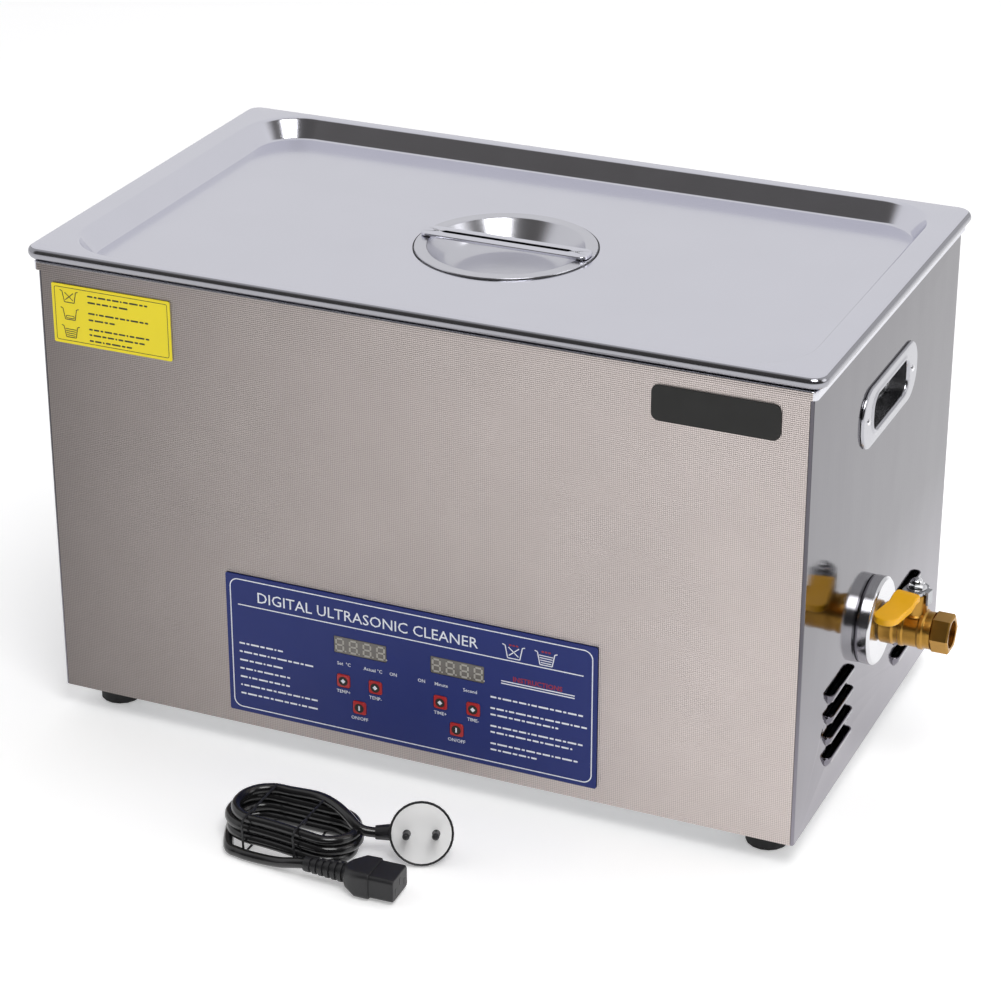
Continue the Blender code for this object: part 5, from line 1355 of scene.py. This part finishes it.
@dataclass
class Print:
    """Flat ink on a face, built up as one thin form.

    Args:
        face: The frame of the face; its origin is where print coordinates start.
    """

    face: Matrix
    form: Form = field(default_factory=Form)

    def spot(self, x: float, y: float) -> Matrix:
        """Return the frame of a spot on the face, a skin above it."""
        return self.face @ at(x, y, SKIN)

    def bar(self, x: float, y: float, width: float, height: float, radius: float = 0.0) -> None:
        """Print a filled bar about a middle."""
        self.form.ring(Outline(width / 2, height / 2, radius, 3), self.spot(x, y), fill=True)

    def border(self, x: float, y: float, shape: Outline, width: float) -> None:
        """Print an outline."""
        self.form.bridge(self.form.ring(shape, self.spot(x, y)),
                         self.form.ring(shape.grown(-width), self.spot(x, y)))

    def dot(self, x: float, y: float, radius: float) -> None:
        """Print a round dot."""
        self.form.circle(radius, self.spot(x, y), 28, True)

    def stroke(self, start: Point, end: Point, width: float) -> None:
        """Print a straight stroke between two points."""
        run = Vector(end) - Vector(start)
        middle = (Vector(start) + Vector(end)) / 2
        turn = Matrix.Rotation(math.atan2(run.y, run.x), 4, "Z")
        self.form.ring(Outline(run.length / 2, width / 2, 0.0), self.spot(*middle) @ turn, fill=True)

    def tub(self, x: float, y: float, width: float, filling: "Filling") -> None:
        """Print a tub with flared lips and what is in it.

        Args:
            x: Its middle.
            y: Its middle height.
            width: Its width over the lips.
            filling: What it holds.
        """
        pen, half, tall = width * 0.045, width * 0.5, width * 0.30
        for side in (-1, 1):
            lip, rim, foot = side * half, side * half * 0.76, side * half * 0.54
            self.stroke((x + lip, y + tall), (x + rim, y + tall * 0.86), pen)
            self.stroke((x + rim, y + tall * 0.86), (x + foot, y - tall), pen)
            if filling is Filling.CROSS:
                self.stroke((x - rim * 0.62, y + tall * 0.66), (x + rim * 0.56, y - tall * 0.62), pen)
        self.stroke((x - half * 0.54, y - tall), (x + half * 0.54, y - tall), pen)
        if filling is Filling.LAYERS:
            for layer in range(4):
                reach = half * (0.62 - 0.05 * layer)
                height = y + tall * (0.42 - 0.36 * layer)
                self.stroke((x - reach, height), (x + reach, height - tall * 0.04), pen * 0.9)
        if filling is Filling.BASKET:
            self.border(x, y - tall * 0.55, Outline(half * 0.48, tall * 0.26, tall * 0.2, 3), pen * 0.8)

    def words(self, text: str, x: float, y: float, height: float, centred: bool = True,
              weight: float = 0.0) -> None:
        """Print generic words."""
        self.form.words(text, height, self.spot(x, y), centred, weight)

    def line_of_marks(self, x: float, y: float, width: float, height: float, seed: int = 0) -> None:
        """Print a stand-in for a line of small text: short bars with word gaps.

        Args:
            x: Its left end.
            y: Its middle height.
            width: Its length.
            height: The bars' height.
            seed: Shifts the pattern of word lengths.
        """
        lengths = (4.2, 2.2, 6.0, 3.2, 5.1, 1.4, 3.8, 6.8, 2.8)
        start, index = x, seed
        while start < x + width - height:
            long = min(lengths[index % len(lengths)] * height * 0.8, x + width - start)
            self.bar(start + long / 2, y, long, height, height * 0.3)
            start += long + height * 0.8
            index += 1

    def show(self, name: str, finish: Finish, body: str, slot: str) -> bpy.types.Object:
        """Finish the print with its faces looking outwards."""
        bmesh.ops.remove_doubles(self.form.mesh, verts=self.form.mesh.verts, dist=WELD)
        out = self.face.to_3x3() @ Vector((0, 0, 1))
        self.form.mesh.normal_update()
        wrong = [f for f in self.form.mesh.faces if f.normal.dot(out) < 0]
        bmesh.ops.reverse_faces(self.form.mesh, faces=wrong)
        data = bpy.data.meshes.new(name)
        self.form.mesh.to_mesh(data)
        self.form.mesh.free()
        data.materials.append(finish.material())
        piece = bpy.data.objects.new(name, data)
        bpy.context.scene.collection.objects.link(piece)
        return placed(piece, body)


# ---------------------------------------------------------------- control panel
class Sign(Enum):
    """The mark on a key."""

    DIAMOND = "diamond"
    UPRIGHT = "upright"


@dataclass
class ControlPanel:
    """Printed overlay with two displays and six keys.

    Args:
        low_z: The casing's underside, from which heights on the panel are taken.
        origin_x: The casing's middle, from which places along the panel are taken.
        title_height: Height of the title's capitals.
        caption_height: Height of the captions' capitals.
        mark_height: Height of the small text's stand-in bars.
        rule_z: Height of the long rule.
        tubs_x: Middles of the two tub signs.
        tubs_z: Their middle height.
        left_widths: Lengths of the lines of small text at the left.
        right_lines: Height and length of each line of small text at the right.
        keys: Each key's node, its caption and its sign.
    """

    frame: Frame
    low_z: float = 0.018
    origin_x: float = -0.02435
    title_height: float = 0.0080
    caption_height: float = 0.0025
    mark_height: float = 0.0013
    rule_z: float = 0.0926
    tubs_x: Point = (0.0743, 0.0971)
    tubs_z: float = 0.0994
    left_widths: tuple[float, ...] = (0.0345, 0.0560, 0.0345, 0.0385, 0.0375, 0.0585, 0.0587)
    right_lines: tuple[Point, ...] = (
        (0.0630, 0.0672), (0.0546, 0.0685), (0.0498, 0.0484), (0.0412, 0.0664), (0.0366, 0.0596),
        (0.0280, 0.0630), (0.0234, 0.0335))
    keys: tuple[tuple[str, str, Sign], ...] = (
        ("key_temp_up", "TEMP+", Sign.DIAMOND), ("key_temp_down", "TEMP-", Sign.DIAMOND),
        ("key_heat", "ON/OFF", Sign.UPRIGHT), ("key_time_up", "TIME+", Sign.DIAMOND),
        ("key_time_down", "TIME-", Sign.DIAMOND), ("key_ultrasound", "ON/OFF", Sign.UPRIGHT))

    def build(self) -> None:
        """Dress the overlay and print on it."""
        low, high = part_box("control_panel")
        self.face = facing((self.origin_x, low.y, self.low_z), (0, -1, 0))
        self.middle = (low + high) / 2 - Vector((self.origin_x, 0, self.low_z))
        self.half = ((high.x - low.x) / 2, (high.z - low.z) / 2)
        self.frame.refine("control_panel", OVERLAY, "casing", "blue_overlay", 30)
        self._white_print()
        self._red_print()
        for name in ("display_temperature", "display_time"):
            self._display(name)
        for name, caption, sign in self.keys:
            self._key(name, sign)

    def _white_print(self) -> None:
        """Print the border, the title, the rule, captions, small text and the tub signs."""
        ink = Print(self.face)
        frame_line = Outline(self.half[0] - 0.0030, self.half[1] - 0.0030, 0.0065)
        ink.border(self.middle.x, self.middle.z, frame_line, 0.0008)
        ink.words("DIGITAL ULTRASONIC CLEANER", -0.0325, 0.0966, self.title_height, True, 0.004)
        ink.bar(-0.0024, self.rule_z, 0.2515, 0.0008)
        for text, x in (("Set  °C", -0.0493), ("Actual °C", -0.0278), ("ON", -0.0128), ("ON", 0.0079),
                        ("Minute", 0.0222), ("Second", 0.0431)):
            ink.words(text, x, 0.0626, self.caption_height, True, 0.012)
        for name, caption, _ in self.keys:
            middle = middle_of(name) - Vector((self.origin_x, 0, self.low_z))
            ink.words(caption, middle.x, middle.z - 0.0093, self.caption_height, True, 0.012)
        for line, width in enumerate(self.left_widths):
            ink.line_of_marks(-0.1283, 0.0632 - 0.00643 * line, width, self.mark_height, line)
        for row, (z, width) in enumerate(self.right_lines):
            ink.line_of_marks(0.0577, z, width, self.mark_height, 3 * row)
        ink.tub(self.tubs_x[0], self.tubs_z, 0.0160, Filling.CROSS)
        ink.tub(self.tubs_x[1], self.tubs_z, 0.0160, Filling.LAYERS)
        for z in (0.0766, 0.0748):
            ink.bar(0.0914, z, 0.0520, 0.0008)
        ink.show("panel_white_print", WHITE_INK, "casing", "white_plastic")

    def _red_print(self) -> None:
        """Print the red marks above the tubs and the red heading."""
        ink = Print(self.face)
        for x in self.tubs_x:
            for step in (-1, 0, 1):
                ink.bar(x + 0.0024 * step, self.tubs_z + 0.0048, 0.0017, 0.0012, 0.0003)
        ink.words("INSTRUCTIONS", 0.0912, 0.0778, 0.0036, True, 0.03)
        ink.show("panel_red_print", RED_INK, "casing", "red_key")

    def _display(self, name: str) -> None:
        """Glaze a display and lay unlit digits in it.

        Args:
            name: The display's node.
        """
        self.frame.refine(name, DISPLAY, "casing", "display_window", 30, 0.0002)
        ink = Print(front_of(name))
        for centre in (-0.0150, -0.0050, 0.0052, 0.0152):
            self._digit(ink, centre)
            ink.dot(centre + 0.0042, -0.0042, 0.0006)
        ink.show(f"{name}_digits", SEGMENT, "casing", "white_plastic")

    @staticmethod
    def _digit(ink: Print, x: float) -> None:
        """Lay the seven bars of one digit about a middle."""
        half_width, half_height, stroke = 0.0026, 0.0044, 0.0013
        for y in (-half_height, 0.0, half_height):
            ink.bar(x, y, 2 * half_width - stroke * 0.9, stroke, 0.0003)
        for side in (-1, 1):
            for up in (-1, 1):
                ink.bar(x + side * half_width, up * half_height / 2, stroke,
                        half_height - stroke * 0.9, 0.0003)

    def _key(self, name: str, sign: Sign) -> None:
        """Round a key's edges and print its sign.

        Args:
            name: The key's node, which is also its body's name.
            sign: The mark that it carries.
        """
        self.frame.refine(name, KEY_RED, name, "red_key", 30, 0.0002)
        black = Print(front_of(name))
        black.dot(0, 0, 0.0034)
        black.show(f"{name}_field", BLACK_FOIL, name, "black_foil")
        white = Print(front_of(name, SKIN))
        if sign is Sign.DIAMOND:
            white.form.circle(0.0018, white.spot(0, 0), 4, True)
        else:
            white.bar(0, 0, 0.0011, 0.0036, 0.0002)
        white.show(f"{name}_sign", WHITE_INK, name, "white_plastic")


# ---------------------------------------------------------------- labels
@dataclass
class Labels:
    """The yellow notice and the plain black plate on the front sheet.

    Args:
        signs_x: Middle of the column of tub signs, from the notice's middle.
        signs_y: Their middle heights.
        lines_x: Where the lines of small text start.
        lines: Height and length of each line.
    """

    frame: Frame
    signs_x: float = -0.0314
    signs_y: tuple[float, ...] = (0.0126, 0.0004, -0.0122)
    lines_x: float = -0.0174
    lines: tuple[Point, ...] = (
        (0.0151, 0.0451), (0.0107, 0.0309), (0.0030, 0.0451), (-0.0016, 0.0209), (-0.0083, 0.0469),
        (-0.0122, 0.0424), (-0.0164, 0.0319))

    def build(self) -> None:
        """Dress both foils and print the notice."""
        self.frame.refine("notice_label", YELLOW_FOIL, "casing", "yellow_foil", 30)
        self.frame.refine("name_plate", BLACK_FOIL, "casing", "black_foil", 30)
        low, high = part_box("notice_label")
        ink = Print(front_of("notice_label"))
        half_x, half_y = (high.x - low.x) / 2, (high.z - low.z) / 2
        ink.border(0, 0, Outline(half_x - 0.0020, half_y - 0.0020, 0.0014, 4), 0.0004)
        for y, filling in zip(self.signs_y, Filling):
            ink.tub(self.signs_x, y, 0.0136, filling)
        for row, (y, width) in enumerate(self.lines):
            ink.line_of_marks(self.lines_x, y, width, 0.0012, row * 2)
        ink.show("notice_print", BLACK_INK, "casing", "black_foil")


# ---------------------------------------------------------------- rear and inside
@dataclass
class Rear:
    """Cooling fan, appliance inlet and mains switch in the rear sheet.

    Args:
        frame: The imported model.
        fan_screw: How far the fan's screws stand from its middle, across and up.
        sheet_screws_x: Places of the rear sheet's screws across it.
        sheet_screws_z: Their heights.
    """

    frame: Frame
    fan_screw: float = 0.0357
    sheet_screws_x: tuple[float, ...] = (-0.255, -0.010, 0.185)
    sheet_screws_z: tuple[float, ...] = (0.028, 0.322)

    def build(self) -> None:
        """Refine the rear fittings."""
        refine = self.frame.refine
        refine("fan_frame", BLACK_NYLON, "casing", "black_plastic", 30, 0.0004)
        refine("fan_rotor", BLACK_NYLON, "fan_rotor", "black_plastic", 30, 0.0003)
        refine("fan_guard", CHROME, "casing", "chrome", 40)
        refine("appliance_inlet", BLACK_NYLON, "casing", "black_plastic", 30, 0.0003)
        refine("switch_frame", BLACK_NYLON, "casing", "black_plastic", 30, 0.0003)
        refine("switch_rocker", KEY_RED, "switch_rocker", "red_key", 30, 0.0005)
        self._switch_marks()
        self._screws()

    def _switch_marks(self) -> None:
        """Print the on sign on the rocker."""
        middle = middle_of("switch_rocker")
        ink = Print(facing((middle.x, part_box("switch_rocker")[1].y, middle.z), (0, 1, 0)))
        ink.bar(-0.0062, 0, 0.0008, 0.0050)
        ink.show("rocker_sign", WHITE_INK, "switch_rocker", "white_plastic")

    def _screws(self) -> None:
        """Drive cross-head screws into the fan's corners and the rear sheet."""
        fan = middle_of("fan_frame")
        face_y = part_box("rear_panel")[1].y
        guard_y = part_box("fan_guard")[1].y
        form = Form()
        for x in (-self.fan_screw, self.fan_screw):
            for z in (-self.fan_screw, self.fan_screw):
                self._screw(form, (fan.x + x, guard_y - 0.0012, fan.z + z))
        for x in self.sheet_screws_x:
            for z in self.sheet_screws_z:
                self._screw(form, (x, face_y, z))
        form.show("rear_screws", ZINC, "casing", slot="zinc_steel")

    @staticmethod
    def _screw(form: Form, place: Sequence[float]) -> None:
        """Add one pan-head screw with a cross recess.

        Args:
            form: The form that takes it.
            place: Where its head sits.
        """
        head = facing(place, (0, 1, 0))
        form.turn([(0.0032, 0.0), (0.0031, 0.0008), (0.0024, 0.0015), (0.0013, 0.0018), (0.0, 0.0018)],
                  head, 18)
        for turn in (0.0, 90.0):
            form.box((-0.0014, -0.0003, 0.0017), (0.0014, 0.0003, 0.0019),
                     head @ Matrix.Rotation(math.radians(turn), 4, "Z"))


@dataclass
class Electrics:
    """Transducers, heater, boards and transformer below the tank."""

    frame: Frame

    def build(self) -> None:
        """Refine the electrics."""
        for number in range(1, 11):
            self.frame.refine(f"transducer_{number}", ALLOY, "casing", "transducer_metal", 35, 0.0004)
        self.frame.refine("heater_pad", SILICONE, "casing", "heater_silicone", 40, 0.0004)
        for board in ("generator_board", "display_board"):
            self.frame.refine(board, BOARD, "casing", "circuit_board", 30)
        self.frame.refine("mains_transformer", COPPER, "casing", "copper_winding", 40, 0.0006)


def main() -> None:
    """Build the studio and the cleaner."""
    logging.basicConfig(level=logging.INFO, format="%(name)s: %(message)s")
    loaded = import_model()
    frame = Frame(loaded["nodes"])
    Studio().build()
    for part in (MainsLead, Casing, Tank, Lid, Drain, ControlPanel, Labels, Rear, Electrics):
        part(frame).build()


if __name__ == "__main__":
    main()
